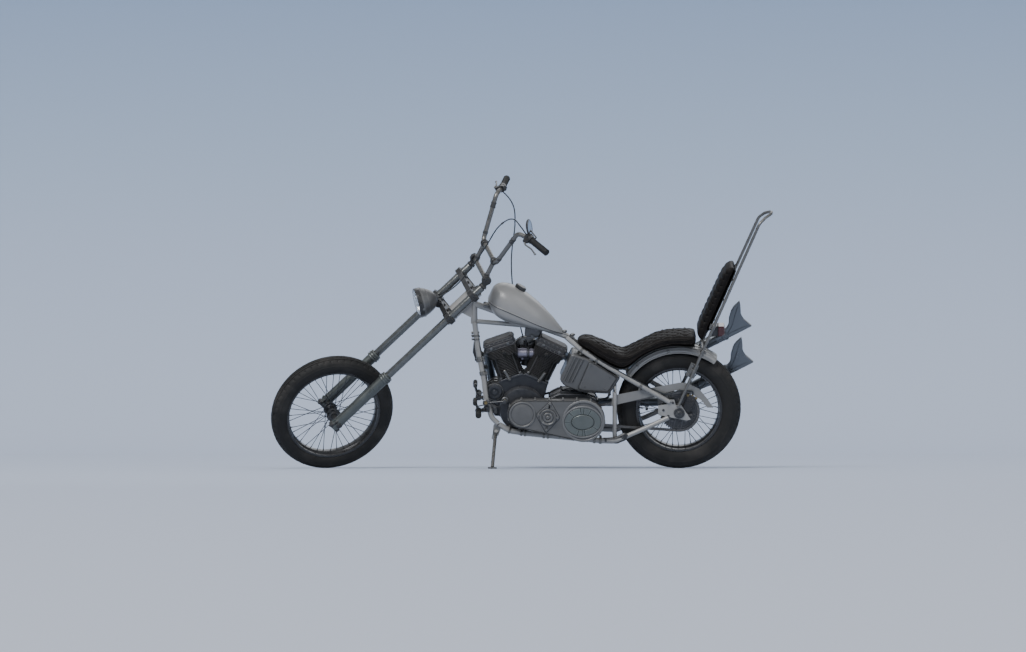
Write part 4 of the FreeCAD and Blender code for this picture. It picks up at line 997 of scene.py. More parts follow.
piece("headlamp_reflector", [bowl, rod(lamp_c + aim * -79, lamp_c + aim * -46, 6, 16), rod(lamp_c + aim * -46, lamp_c + aim * -42, 9, 20)], FORK, "fork", M["reflector"])
prof = [(0, 6.0)]
steps = 14
for i in range(1, steps + 1):
    r = (hr - 8.5) * i / steps
    prof.append((r, 6.0 - 7.0 * (i / steps) ** 2 - (0.5 if i % 2 else 0.0)))
prof += [(hr - 8.5, -4.0)]
for i in range(steps - 1, 0, -1):
    r = (hr - 8.5) * i / steps
    prof.append((r, 2.5 - 7.0 * (i / steps) ** 2))
prof.append((0, 2.5))
piece("headlamp_lens", [lathe(prof, lamp_c, aim, 72)], FORK, "fork", M["glass"])

# ------------------------------------------------------------------ engine
CX, CZ = 838.0, 344.0
FA, RA = math.radians(19.5), math.radians(-25.5)


def bank(a, h, across=0.0, y=0.0):
    return V3((CX + h * math.sin(a) + across * math.cos(a), y, CZ + h * math.cos(a) - across * math.sin(a)))


def bank_plate(a, h0, h1, outline, c=1.0):
    """A plate square to a cylinder: outline in (across, y)."""
    ins = inset(outline, c)
    n = len(outline)
    rows = [(ins, h0), (outline, h0 + c), (outline, h1 - c), (ins, h1)]
    vs = [bank(a, h, p[0], p[1]) for o, h in rows for p in o]
    fs = [tuple(range(n)), tuple(range(4 * n - 1, 3 * n - 1, -1))]
    for i in range(3):
        for k in range(n):
            k2 = (k + 1) % n
            fs.append((i * n + k2, i * n + k, (i + 1) * n + k, (i + 1) * n + k2))
    return vs, fs


def rect(w, d, r=10.0, seg=5, ox=0.0):
    return corner_round([(-w / 2 + ox, -d / 2), (w / 2 + ox, -d / 2), (w / 2 + ox, d / 2), (-w / 2 + ox, d / 2)], r, seg)


for label, a in (("front", FA), ("rear", RA)):
    e = V3((math.sin(a), 0, math.cos(a)))
    f = V3((math.cos(a), 0, -math.sin(a)))
    parts = [lathe([(0, 0), (66, 0), (66, 8), (58, 8), (58, 120), (0, 120)], bank(a, 180), e, 56)]
    h = 193.0
    while h < 298:
        parts.append(ring([(55, -1.6), (71, -1.3), (72.4, 0), (71, 1.3), (55, 1.6)], bank(a, h), e, 72))
        h += 8.6
    parts.append(bank_plate(a, 299, 345, rect(118, 108, 22), 1.0))
    h = 301.0
    i = 0
    while h < 344:
        grow = 4.0 * math.sin(math.pi * (h - 299) / 46)
        parts.append(bank_plate(a, h, h + 2.8, rect(148 + grow, 136 + grow, 26, 6), 0.9))
        h += 7.6
        i += 1
    for sx in (1, -1):
        for sy in (1, -1):
            parts.append(rod(bank(a, 186, 47 * sx, 47 * sy), bank(a, 302, 47 * sx, 47 * sy), 4.2, 12))
    piece(label + "_cylinder_fins", parts, BIKE, "frame", M["fins"], ["cylinders"] if label == "front" else ())
    steel = []
    for sx in (1, -1):
        for sy in (1, -1):
            steel.append(hexa(bank(a, 188, 53 * sx, 53 * sy), e, 8, 7))
            steel.append(rod(bank(a, 186, 53 * sx, 53 * sy), bank(a, 188, 53 * sx, 53 * sy), 10, 16))
    # rocker box: gasket flange, ribbed walls, lid with its screws
    parts = [bank_plate(a, 345, 351, rect(172, 122, 16), 1.2),
             bank_plate(a, 350, 375, rect(164, 112, 18), 1.0),
             bank_plate(a, 374, 380.5, rect(174, 122, 18), 1.6),
             bank_plate(a, 380, 392, rect(166, 114, 20), 2.5)]
    lid = rect(150, 98, 24, 6)
    parts.append(bank_plate(a, 390, 397, lid, 3.2))
    for sy in (1, -1):
        # a raised band along each side wall, and the shaft ends
        band = corner_round([(-70, 356), (70, 356), (66, 370), (-66, 370)], 5, 3)
        vs, fs = [], []
        n = len(band)
        for yy, o in ((54 * sy, band), (58.5 * sy, band), (60 * sy, inset(band, 2))):
            vs += [bank(a, q[1], q[0], yy) for q in o]
        for i in range(2):
            for k in range(n):
                k2 = (k + 1) % n
                fs.append((i * n + k, i * n + k2, (i + 1) * n + k2, (i + 1) * n + k))
        fs.append(tuple(range(n)))
        fs.append(tuple(range(2 * n, 3 * n)))
        parts.append((vs, fs))
        for q in (-46, 46):
            steel.append(hexa(bank(a, 363, q, 60 * sy), (0, sy, 0), 8.5, 6))
        for k in range(7):
            q = -75 + 25 * k
            steel.append(screw(bank(a, 380.5, q, 57 * sy), e, 3.6, 5))
            steel.append(hexa(bank(a, 351, q, 58.5 * sy), e, 4.6, 4))
        for k in range(10):
            q = -66 + 14.6 * k
            parts.append(bank_plate(a, 392, 395.5, corner_round([(q - 2, 46 * sy - 9), (q + 2, 46 * sy - 9), (q + 2, 46 * sy + 9), (q - 2, 46 * sy + 9)], 1.5, 2), 0.6))
    for q in (-84, 84):
        for yy in (-40, 0, 40):
            steel.append(screw(bank(a, 380.5, q * 0.98, yy), e, 3.6, 5))
    piece(label + "_rocker_cover", parts, BIKE, "frame", M["alloy"], ["rocker_boxes"] if label == "front" else ())
    # spark plug on the left, with its cap
    p0, dirn = bank(a, 322, -10 if a > 0 else 10, 66), (e * 0.25 + Y).normalized()
    steel.append(rod(p0 - dirn * 8, p0 + dirn * 6, 9, 18))
    steel.append(hexa(p0 + dirn * 6, dirn, 10.5, 7))
    piece(label + "_head_bolts", steel, BIKE, "frame", M["steel"])
    cap = [rod(p0 + dirn * 13, p0 + dirn * 22, 6.5, 18), tube(rounded([p0 + dirn * 20, p0 + dirn * 34, p0 + dirn * 34 + e * 16], 9, 6), [6.5, 7.5] + [7.5] * 40, 16)]
    cap = [rod(p0 + dirn * 13, p0 + dirn * 40, 7.0, 18, 2.5), torus(p0 + dirn * 18, dirn, 7.0, 1.2, 24, 8), torus(p0 + dirn * 24, dirn, 7.0, 1.2, 24, 8)]
    piece(label + "_plug_cap", cap, BIKE, "frame", M["rubber"])

# crankcase: two halves with a flange, ribs, and the deck under the cylinders
parts = [lathe([(0, -84), (108, -84), (118, -80), (122, -72), (122, 96), (117, 105), (108, 108), (0, 108)], (CX, 0, CZ), Y, 96),
         ring([(118, -5), (127, -5), (128.5, -3.5), (128.5, 3.5), (127, 5), (118, 5)], (CX, 0, CZ), Y, 96)]
deck = [bank(FA, 181, 66), bank(FA, 181, -66), V3((828, 0, 528)), bank(RA, 181, 66), bank(RA, 181, -66), V3((722, 0, 400)), V3((742, 0, 330)), V3((936, 0, 330)), V3((968, 0, 400))]
deck = [(p.x, p.z) for p in deck]
parts.append(soft_prism(corner_round(deck, 8, 3), -62, 62, 2.5))
parts.append(soft_prism(inset(corner_round(deck, 8, 3), -4), -4, 4, 1.5))
for y in (-48, -26, 26, 48):
    parts.append(soft_prism(inset(corner_round(deck, 8, 3), -1.8), y - 2.5, y + 2.5, 1.0))
for a in (FA, RA):
    parts.append(bank_plate(a, 172, 183, rect(142, 134, 24), 2.0))
parts.append(soft_prism(corner_round([(1004, 352), (944, 352), (944, 300), (986, 300)], 8, 3), -60, 60, 2.5))
parts.append(soft_prism(corner_round([(1014, 402), (955, 398), (928, 330), (952, 326), (1004, 380)], 6, 3), -45, 45, 2.0))
for y in (-52, -30, 30, 52):
    parts.append(soft_prism([(955, 398), (905, 250), (925, 262), (972, 380)], y - 3, y + 3, 1.0))
for k in range(14):
    an = math.radians(-170 + 360 * k / 14.0)
    parts.append(rod((CX + 123 * math.cos(an), -9, CZ + 123 * math.sin(an)), (CX + 123 * math.cos(an), 9, CZ + 123 * math.sin(an)), 7.5, 16))
    parts.append(hexa((CX + 123 * math.cos(an), 9, CZ + 123 * math.sin(an)), Y, 7, 5))
for k in range(9):
    an = math.radians(200 + 40 * k)
    parts.append(slab((CX + 108 * math.cos(an), 60, CZ + 108 * math.sin(an)), (30, 60, 6), (V3((math.cos(an), 0, math.sin(an))), Y, V3((-math.sin(an), 0, math.cos(an)))), 2))
piece("crankcase_halves", parts, BIKE, "frame", M["case"], ["crankcase"], bevel=0.5)
# timing side on the right: nose, round cover, screws and a breather
parts = [soft_prism(corner_round([(838, 448), (905, 470), (985, 480), (1028, 440), (985, 392), (905, 280), (800, 262), (752, 310), (760, 400)], 18, 5), -122, -74, 4.0),
         lathe([(0, 0), (97, 0), (97, 6), (90, 14), (60, 18), (56, 24), (0, 25)], (CX, -112, 352), -Y, 72),
         lathe([(0, 0), (36, 0), (36, 4), (30, 8), (12, 9), (12, 14), (0, 14)], (972, -120, 438), -Y, 48)]
for k in range(10):
    an = math.radians(36 * k + 10)
    parts.append(screw((CX + 84 * math.cos(an), -122, 352 + 84 * math.sin(an)), -Y, 4.5, 5))
for p in ((900, 456), (950, 466), (1008, 446), (975, 404), (925, 330)):
    parts.append(screw((p[0], -121, p[1]), -Y, 4.5, 5))
for k in range(5):
    parts.append(torus((CX, -133 - 0.3 * k, 352), Y, 30 + 7 * k, 1.3, 56, 8))
piece("timing_cover", parts, BIKE, "frame", M["alloy"], bevel=0.4)
# pushrod tubes with their collars, on the right; short oil tubes on the left
parts = []
for a, offs in ((FA, (-30, 22)), (RA, (-22, 30))):
    for q in offs:
        lo, hi = bank(a, 120, q * 0.55, -86), bank(a, 346, q, -66)
        dd = (hi - lo).normalized()
        parts.append(rod(lo, hi, 8.5, 24))
        for t in (0.05, 0.34, 0.38, 0.95):
            parts.append(ring([(8, -5), (12.5, -5), (13.5, -4), (13.5, 4), (12.5, 5), (8, 5)], lo + (hi - lo) * t, dd, 24))
    lo, hi = bank(a, 168, 10 if a > 0 else -16, 64), bank(a, 232, 20 if a > 0 else -26, 74)
    parts.append(rod(lo, hi, 9.5, 20))
    parts.append(torus(lo + (hi - lo) * 0.2, hi - lo, 10, 2, 24, 8))
piece("pushrod_tubes", parts, BIKE, "frame", M["bar"])
# generator with its banded ends
gx, gz = 985.0, 436.0
parts = [lathe([(0, -74), (34, -74), (40, -70), (41, -66), (41, 60), (45, 62), (45.5, 64), (45.5, 70), (43, 74), (38, 76), (36, 80), (24, 81), (22, 77), (12, 77), (11, 84), (0, 85)], (gx, 0, gz), Y, 56)]
for y in (-60, -52, 40, 48):
    parts.append(torus((gx, y, gz), Y, 41.4, 1.5, 56, 8))
for k in range(6):
    an = math.radians(60 * k + 15)
    parts.append(screw((gx + 31 * math.cos(an), 79.5, gz + 31 * math.sin(an)), Y, 3.2, 3))
parts.append(slab((gx - 30, 20, gz + 36), (30, 42, 14), r=3))
for y in (8, 30):
    parts.append(rod((gx - 30, y, gz + 40), (gx - 30, y, gz + 54), 4, 14))
    parts.append(hexa((gx - 30, y, gz + 45), (0, 0, 1), 6.5, 4))
for ang in (35, 100):
    an = math.radians(ang)
piece("generator_body", parts, BIKE, "frame", M["case"], bevel=0.3)
parts = [ring([(41, -6), (47, -6), (48.5, -4), (48.5, 4), (47, 6), (41, 6)], (gx, 10, gz), Y, 56),
         ring([(41, -6), (47, -6), (48.5, -4), (48.5, 4), (47, 6), (41, 6)], (gx, -36, gz), Y, 56),
         torus((gx, 71, gz), Y, 45.6, 1.8, 56, 8), torus((gx, 78, gz), Y, 30, 1.6, 48, 8)]
piece("generator_straps", parts, BIKE, "frame", M["bar"])
# manifold and carburettor
parts = []
for x0, x1, r in ((892, 870, 24), (862, 812, 25.5), (800, 776, 24)):
    parts.append(rod((x0, -8, 630), (x1, -8, 630), r, 36, 2.5))
parts.append(rod((892, -8, 630), (748, -8, 630), 20, 32))
parts.append(rod((837, -8, 606), (837, -8, 596), 10, 20))
parts.append(rod((837, -8, 630), (830, -74, 628), 23, 32))
piece("intake_manifold", parts, BIKE, "frame", M["manifold"], ["carburettor"])
parts = []
for x in (866, 806, 770):
    parts.append(ring([(20, -3.5), (27, -3.5), (28, -2), (28, 2), (27, 3.5), (20, 3.5)], (x, -8, 630), V3((1, 0, 0)), 40))
    parts.append(screw((x, -8, 658), (0, 0, 1), 4, 4))
parts.append(slab((818, -64, 616), (66, 40, 78), r=7))
parts.append(lathe([(0, 0), (25, 0), (26, 3), (26, 24), (20, 30), (0, 31)], (818, -64, 580), (0, 0, -1), 36))
parts.append(rod((818, -64, 652), (818, -64, 674), 13, 28))
parts.append(lathe([(0, 0), (7, 0), (7, 10), (5, 16), (0, 16)], (818, -64, 673), (0, 0, 1), 20))
for sx in (-26, 26):
    for sz in (-30, 30):
        parts.append(screw((818 + sx, -84, 616 + sz), -Y, 3.4, 4))
parts.append(rod((846, -64, 640), (862, -64, 640), 5, 16))
parts.append(slab((858, -60, 648), (5, 10, 26), r=2))
piece("carburettor_body", parts, BIKE, "frame", M["case"], bevel=0.4)
air = [lathe([(0, 0), (66, 0), (71, 2), (72, 5), (72, 9), (68, 11), (68, 33), (72, 35), (72, 39), (70, 43), (60, 46), (40, 47), (38, 45), (14, 45), (12, 48), (0, 48.5)], (818, -84, 628), -Y, 80)]
for k in range(44):
    an = 2 * math.pi * k / 44
    air.append(rod((818 + 69.5 * math.cos(an), -94, 628 + 69.5 * math.sin(an)), (818 + 69.5 * math.cos(an), -118.5, 628 + 69.5 * math.sin(an)), 2.2, 8, 0.5))
for k in range(3):
    an = math.radians(120 * k + 90)
    air.append(screw((818 + 50 * math.cos(an), -130.2, 628 + 50 * math.sin(an)), -Y, 4.5, 3))
piece("air_cleaner", air, BIKE, "frame", M["bar"])
# engine's top mount under the tank rail, and its front mount lugs
parts = [soft_prism(corner_round([(822, 778), (752, 772), (742, 736), (760, 716), (800, 712), (826, 734)], 8, 4), -14, -8, 1.2),
         soft_prism(corner_round([(822, 778), (752, 772), (742, 736), (760, 716), (800, 712), (826, 734)], 8, 4), 8, 14, 1.2),
         slab((786, 0, 722), (58, 40, 14), r=4)]
for p in ((806, 764), (764, 760), (786, 730)):
    parts.append(rod((p[0], -18, p[1]), (p[0], 18, p[1]), 5, 18))
    parts.append(hexa((p[0], 14, p[1]), Y, 9, 7))
    parts.append(hexa((p[0], -14, p[1]), -Y, 9, 7))
parts.append(rod((1002, -72, 336), (1002, 72, 336), 7, 20))
for s in (1, -1):
    parts.append(soft_prism(corner_round([(1030, 372), (976, 360), (970, 316), (1008, 318)], 7, 3), 64 * s, 72 * s, 1.5))
    parts.append(hexa((1002, 72 * s, 336), (0, s, 0), 11, 8))
    parts.append(hexa((986, 72 * s, 350), (0, s, 0), 8, 6))
piece("engine_mounts", parts, BIKE, "frame", M["panel"], bevel=0.3)

# ------------------------------------------------------------------ gearbox and primary drive
gear = corner_round([(694, 398), (640, 424), (520, 424), (446, 396), (430, 330), (446, 262), (560, 238), (690, 250)], 14, 4)
parts = [soft_prism(gear, -100, 70, 4.0), soft_prism(inset(gear, -4), 20, 30, 2.0), soft_prism(inset(gear, -4), -62, -52, 2.0),
         soft_prism(corner_round([(680, 252), (470, 262), (470, 236), (680, 222)], 6, 3), -60, 60, 2.0)]
lidz = corner_round([(636, -62), (524, -62), (524, 42), (636, 42)], 10, 4)
parts.append(soft_prism(lidz, 420, 431, 2.0, "xy"))
parts.append(soft_prism(inset(lidz, 12), 430, 436, 2.0, "xy"))
for x in (630, 580, 530):
    for y in (-56, 36):
        parts.append(bolt((x, y, 431), (0, 0, 1), 6, 5))
for y in (-10,):
    parts.append(bolt((530, y, 431), (0, 0, 1), 6, 5))
    parts.append(bolt((630, y, 431), (0, 0, 1), 6, 5))
for z in (280, 310, 340, 370):
    parts.append(slab((437, -16, z), (10, 150, 7), r=2))
# right cover with the clutch arm's boss
parts.append(soft_prism(inset(gear, 12), -116, -98, 5.0))
parts.append(lathe([(0, 0), (40, 0), (40, 8), (34, 14), (18, 16), (16, 24), (0, 25)], (560, -114, 330), -Y, 48))
for k in range(8):
    an = math.radians(45 * k + 22)
    parts.append(bolt((565 + 92 * math.cos(an), -115, 330 + 62 * math.sin(an)), -Y, 5.5, 4))
parts.append(rod((470, -114, 300), (470, -134, 300), 11, 24))
piece("gearbox_case", parts, BIKE, "frame", M["case"], ["transmission"], bevel=0.4)
drain = [bolt((560, -60, 236), (0, 0, -1), 11, 7), bolt((640, 60, 250), (0, 0, -1), 9, 6), rod((500, 40, 424), (500, 40, 448), 12, 24), hexa((500, 40, 448), (0, 0, 1), 10, 7)]
piece("gearbox_plugs", drain, BIKE, "frame", M["steel"])


def hull_of(c1, r1, c2, r2, n=40):
    d = (c1[0] - c2[0], c1[1] - c2[1])
    base = math.degrees(math.atan2(d[1], d[0]))
    up = base + math.degrees(math.acos((r2 - r1) / math.hypot(*d)))
    dn = 2 * base - up
    return arcs(c1[0], c1[1], r1, dn, up, n) + arcs(c2[0], c2[1], r2, up, dn + 360, n * 2)


C1, C2 = (838, 343), (512, 307)
parts = [soft_prism(hull_of(C1, 60, C2, 84), 108, 150, 1.5),
         soft_prism(hull_of(C1, 77.5, C2, 113.5), 146, 158, 1.2),
         soft_prism(hull_of(C1, 72, C2, 108), 156, 164, 0.8),
         soft_prism(hull_of(C1, 77, C2, 113), 162, 199, 2.5),
         soft_prism(hull_of(C1, 72.5, C2, 108), 197, 203, 2.2)]
# rim studs round the joint
outline = hull_of(C1, 77.5, C2, 113.5, 20)
acc, last = 0.0, Vector(outline[0])
studs = []
for q in outline[1:] + outline[:1]:
    v = Vector(q)
    seg = (v - last).length
    while acc + seg > 74:
        t = (74 - acc) / seg
        last = last + (v - last) * t
        studs.append((last.x, last.y))
        seg = (v - last).length
        acc = 0.0
    acc += seg
    last = v
for q in studs:
    parts.append(rod((q[0], 147, q[1]), (q[0], 198, q[1]), 5.5, 14))
    parts.append(screw((q[0], 198, q[1]), Y, 4.2, 4))
# round cover over the front pulley
parts.append(ring([(60, 0), (70, 0), (71.5, 1.5), (71.5, 4.5), (69.5, 6.5), (64, 7.5), (60, 5)], (837, 201, 343), Y, 84))
parts.append(lathe([(0, 8.5), (30, 8.2), (50, 7.2), (57.5, 5.0), (59, 2.0), (59, -2), (0, -2)][::-1], (837, 201, 343), Y, 84))
# diamond plate with its boss
dia = corner_round([(689, 416), (764, 342), (711, 245), (638, 326)], 9, 4)
parts.append(soft_prism(dia, 202, 208, 1.6))
parts.append(soft_prism(inset(dia, 9), 207, 210, 1.0))
parts.append(ring([(30, 0), (42, 0), (44, 2), (44, 7), (42, 9), (38, 9), (33, 5), (30, 5)], (701, 208, 330), Y, 64))
parts.append(ring([(14, 0), (25, 0), (26.5, 2), (26.5, 8), (24, 10), (18, 10), (14, 8)], (701, 208, 330), Y, 56))
parts.append(lathe([(0, 0), (11, 0), (11, 9), (8, 12), (0, 12)], (701, 208, 330), Y, 32))
for p in ((689, 402), (750, 342), (709, 260), (652, 327)):
    parts.append(bolt((p[0], 209.5, p[1]), Y, 6.0, 4.5))
piece("primary_case", parts, BIKE, "frame", M["primary"], ["primary_cover"], bevel=0.3)
# black rings and lines laid into the grooves and along the steps of the primary cover: painted shade in the gaps and
# corners
dark = [ring([(57.6, -1), (64.5, -1), (64.5, 2.6), (57.6, 2.6)], (837, 202, 343), Y, 84), torus((701, 210.5, 330), Y, 28.5, 3.0, 56, 8),
        soft_prism(inset(dia, -4.5), 201.5, 204.6, 0.6), ring([(44, -1), (49, -1), (49, 2.4), (44, 2.4)], (701, 208, 330), Y, 64),
        ring([(96, -1), (101.5, -1), (101.5, 2.2), (96, 2.2)], (512, 203, 307), Y, 110)]
rim_line = hull_of(C1, 74.8, C2, 110.6, 30)
dark.append(tube([(q[0], 201.8, q[1]) for q in rim_line], 2.4, 8, closed=True))
mid_line = hull_of(C1, 77.9, C2, 113.9, 30)
dark.append(tube([(q[0], 160.0, q[1]) for q in mid_line], 2.2, 8, closed=True))
piece("primary_groove_shade", dark, BIKE, "frame", M["black"])


def oval(cx, cz, ra, rb, n=72, a0=0.0, a1=360.0):
    return [(cx + ra * math.cos(math.radians(t)), cz + rb * math.sin(math.radians(t))) for t in np.linspace(a0, a1, n, endpoint=abs(a1 - a0) < 359.9)]


def oval_ring(c, ra0, rb0, ra1, rb1, y0, y1, n=96, a0=0.0, a1=360.0):
    """A raised oval band between two ovals."""
    full = abs(a1 - a0) > 359.9
    ins, outs = oval(c[0], c[1], ra0, rb0, n, a0, a1), oval(c[0], c[1], ra1, rb1, n, a0, a1)
    cz_ = 1.2
    rows = [(ins, y0), (ins, y1 - cz_), (oval(c[0], c[1], ra0 + cz_, rb0 + cz_, n, a0, a1), y1), (oval(c[0], c[1], ra1 - cz_, rb1 - cz_, n, a0, a1), y1), (outs, y1 - cz_), (outs, y0)]
    vs = [V3((q[0], y, q[1])) for o, y in rows for q in o]
    fs = []
    m = len(rows)
    for i in range(m):
        j = (i + 1) % m
        for k in range(n if full else n - 1):
            k2 = (k + 1) % n
            fs.append((i * n + k, i * n + k2, j * n + k2, j * n + k))
    if not full:
        fs.append(tuple(i * n for i in range(m)))
        fs.append(tuple(i * n + n - 1 for i in reversed(range(m))))
    return vs, fs


CC = (515, 302)
parts = [ring([(100, 0), (113.5, 0), (115, 2), (115, 5), (112, 8), (104, 9), (100, 6)], (512, 197, 307), Y, 120),
         soft_prism(oval(CC[0], CC[1], 108, 90, 96), 196, 203.5, 2.0),
         oval_ring(CC, 99, 79, 107, 88, 200, 208)]
piece("clutch_rim", parts, BIKE, "frame", M["primary"])
# a black sheet under the clutch cover's segments: painted shade in the gaps between them and round them
piece("clutch_recess_shade", [soft_prism(oval(CC[0], CC[1], 99.5, 79.5, 96), 200, 204, 1.0)], BIKE, "frame", M["black"])
parts = []
gaps = [0, 42, 82, 94, 118, 214, 262, 272, 288]
gaps = sorted(gaps)
for i, g in enumerate(gaps):
    g2 = gaps[(i + 1) % len(gaps)] + (360 if i == len(gaps) - 1 else 0)
    high = 208.6 if i % 2 else 207.2
    parts.append(oval_ring(CC, 62.5, 43.5, 96.5, 76.5, 203, high, max(8, int((g2 - g) / 4)), g + 1.4, g2 - 1.4))
parts.append(soft_prism(oval(CC[0], CC[1], 59, 40, 72), 203, 209.5, 3.0))
piece("clutch_cover", parts, BIKE, "frame", M["clutch"])


def on_path(pts, axis, value):
    """The point of a run of points where one coordinate has a value, with the direction there."""
    ps = [V3(p) for p in pts]
    for a, b in zip(ps, ps[1:]):
        if (a[axis] - value) * (b[axis] - value) <= 0 and abs(a[axis] - b[axis]) > 1e-6:
            return a + (b - a) * ((value - a[axis]) / (b[axis] - a[axis])), (b - a).normalized()
    return ps[0], (ps[1] - ps[0]).normalized()


def collar(p, d, r, w=12.0, ear=None):
    """A split clamp round a tube, with its pinch bolt."""
    out = [ring([(r - 1, -w / 2), (r + 2.6, -w / 2), (r + 3.6, -w / 2 + 1), (r + 3.6, w / 2 - 1), (r + 2.6, w / 2), (r - 1, w / 2)], p, d, 28)]
    if ear is not None:
        e_ = V3(ear).normalized()
        c = p + e_ * (r + 7)
        s_ = e_.cross(d).normalized()
        out.append(slab(c, (12, 11, w), (e_, s_, V3(d).normalized()), 1.2))
        out.append(rod(c - s_ * 8.5, c + s_ * 8.5, 3.2, 12))
        out.append(hexa(c + s_ * 5.5, s_, 5.4, 4))
        out.append(hexa(c - s_ * 5.5, -s_, 5.4, 4))
    return out


def both(list_of):
    """Shapes on the left, and their mirror images on the right."""
    return list(list_of) + [mirror_y(vf) for vf in list_of]


# ------------------------------------------------------------------ frame fittings
DOWN = rounded([(1092, 21, 803), (1074, 45, 660), (1042, 76, 502), (1030, 97, 400), (1000, 117, 305), (966, 124, 274)], 120)
RAIL = rounded([(962, 125, 271), (905, 130, 236), (812, 130, 222), (411, 130, 182), (343, 128, 180), (296, 126, 198)], 90)
STAY = rounded([(600, 24, 722), (514, 60, 656), (351, 96, 561), (212, 112, 483), (79, 120, 407), (52, 121, 391)], 90)
CHST = rounded([(290, 126, 201), (163, 121, 256), (56, 119, 306)], 60)
parts = []
for z in (736, 716):
    p, d = on_path(DOWN, 2, z)
    parts += both(collar(p, d, 14, 9, (1, 0, 0)))
for z, w in ((612, 26), (538, 20)):
    p, d = on_path(DOWN, 2, z)
    parts += both(collar(p, d, 14, w, (-1, 0.2, 0)))
for x, w in ((905, 10), (842, 12), (822, 10), (722, 12), (700, 12), (452, 14), (420, 14)):
    p, d = on_path(RAIL, 0, x)
    parts += both(collar(p, d, 15, w, (0, -0.5, 1)))
for x, w in ((520, 12), (439, 12), (205, 12)):
    p, d = on_path(STAY, 0, x)
    parts += both(collar(p, d, 13, w, (0.4, 0.3, -1)))
piece("frame_clamps", parts, BIKE, "frame", M["bar"])
# ties between the rails and the stays' feet: polished forgings and the axle plate's bolts
parts = []
for s in (1, -1):
    outline = corner_round([(412, 196), (404, 172), (330, 166), (284, 186), (268, 214), (292, 226), (340, 200)], 7, 3)
    parts.append(soft_prism(outline, s * 128 - 12, s * 128 + 12, 4.0))
    for x, z in ((392, 184), (300, 202)):
        parts.append(bolt((x, s * 140, z), (0, s, 0), 7, 5))
    for x, z in ((84, 348), (34, 389), (-14, 346), (58, 316)):
        parts.append(bolt((x, s * 124, z), (0, s, 0), 5.5, 4))
    parts.append(ring([(12, 0), (28, 0), (29, 1.5), (29, 5), (27, 7), (12, 7)], (0, s * 124, 332), (0, s, 0), 48))
    parts.append(hexa((0, s * 130, 332), (0, s, 0), 17, 11))
    parts.append(rod((0, s * 140, 332), (0, s * 147, 332), 9.5, 24))
    # chain tensioner screw behind the plate
    parts.append(rod((-72, s * 118.5, 318), (-30, s * 118.5, 322), 4, 14))
    parts.append(hexa((-66, s * 118.5, 318.6), (1, 0, 0.1), 7.5, 6))
piece("rear_dropout_fittings", parts, BIKE, "frame", M["dark_steel"], bevel=0.3)
parts = [soft_prism(corner_round([(1102, 640), (1096, 700), (1082, 706), (1070, 640), (1066, 585), (1082, 582)], 5, 3), -18, 18, 2.0)]
for z in (690, 600):
    parts.append(rod((1084, -22, z), (1084, 22, z), 5, 16))
    for s in (1, -1):
        parts.append(hexa((1084, 17 * s, z), (0, s, 0), 8, 5))
piece("coil_cover", parts, BIKE, "frame", M["black"], bevel=0.3)

# ------------------------------------------------------------------ fuel tank
TK = [(1018, 943, 928, 22, 910), (1016, 946, 926, 36, 903), (985, 1002, 912, 84, 850), (930, 1016, 892, 110, 815), (850, 988, 858, 115, 792), (760, 920, 812, 96, 768),
      (680, 838, 772, 56, 748), (632, 778, 750, 24, 740), (622, 768, 745, 12, 738)]


def spline(rows, n):
    """Catmull-Rom through rows of numbers, evenly in the row index."""
    a = np.array(rows, float)
    out = []
    m = len(a)
    for t in np.linspace(0, m - 1, n):
        i = min(int(t), m - 2)
        f = t - i
        p0, p1, p2, p3 = a[max(i - 1, 0)], a[i], a[i + 1], a[min(i + 2, m - 1)]
        out.append(0.5 * ((2 * p1) + (-p0 + p2) * f + (2 * p0 - 5 * p1 + 4 * p2 - p3) * f * f + (-p0 + 3 * p1 - 3 * p2 + p3) * f ** 3))
    return out


def power(c, e_):
    return math.copysign(abs(c) ** e_, c)


NT = 72
rows = spline(TK, 56)
vs, fs = [], []
for x, top, seam, half, low in rows:
    for k in range(NT):
        t = 2 * math.pi * k / NT
        c, s_ = math.cos(t), math.sin(t)
        if s_ >= 0:
            vs.append(V3((x, half * power(c, 0.88), seam + (top - seam) * power(s_, 0.94))))
        else:
            vs.append(V3((x, half * power(c, 0.80), seam + (seam - low) * power(s_, 0.72))))
for i in range(len(rows) - 1):
    for k in range(NT):
        k2 = (k + 1) % NT
        fs.append((i * NT + k, i * NT + k2, (i + 1) * NT + k2, (i + 1) * NT + k))
fs.append(tuple(range(NT)))
fs.append(tuple(range(len(rows) * NT - 1, (len(rows) - 1) * NT - 1, -1)))
piece("tank_shell", [(vs, fs)], BIKE, "frame", M["tank"], ["fuel_tank"], sharp=50)
left = [V3((r[0], r[3] + 0.6, r[2])) for r in rows]
loopp = left + [V3((p.x, -p.y, p.z)) for p in reversed(left)]
piece("tank_seam", [tube(loopp, 2.6, 10, closed=True)], BIKE, "frame", M["tank"], sharp=180)
low_ = [p + V3((0, 0.4 * (1 if p.y > 0 else -1), -3.2)) for p in loopp]
piece("tank_seam_shadow", [tube(low_, 2.5, 8, closed=True)], BIKE, "frame", M["black"], sharp=180)
e_, f_ = (V3((839.7, 0, 1002)) - V3((857, 0, 972))).normalized(), None
c0 = V3((857, 0, 972)) + e_ * 6
parts = [lathe([(0, 0), (37, 0), (38.5, 3), (36, 7), (31, 8), (31, 12), (29.5, 13), (29.5, 24), (27, 27.5), (18, 29), (0, 29.6)], c0, e_, 64)]
for k in range(30):
    a = 2 * math.pi * k / 30
    _, u_, w_ = ring_frame(e_)
    q = u_ * math.cos(a) + w_ * math.sin(a)
    parts.append(rod(c0 + q * 29.3 + e_ * 13.5, c0 + q * 29.3 + e_ * 24.5, 1.9, 8, 0.6))
piece("filler_cap_turned", parts, BIKE, "frame", M["black"])
parts = []
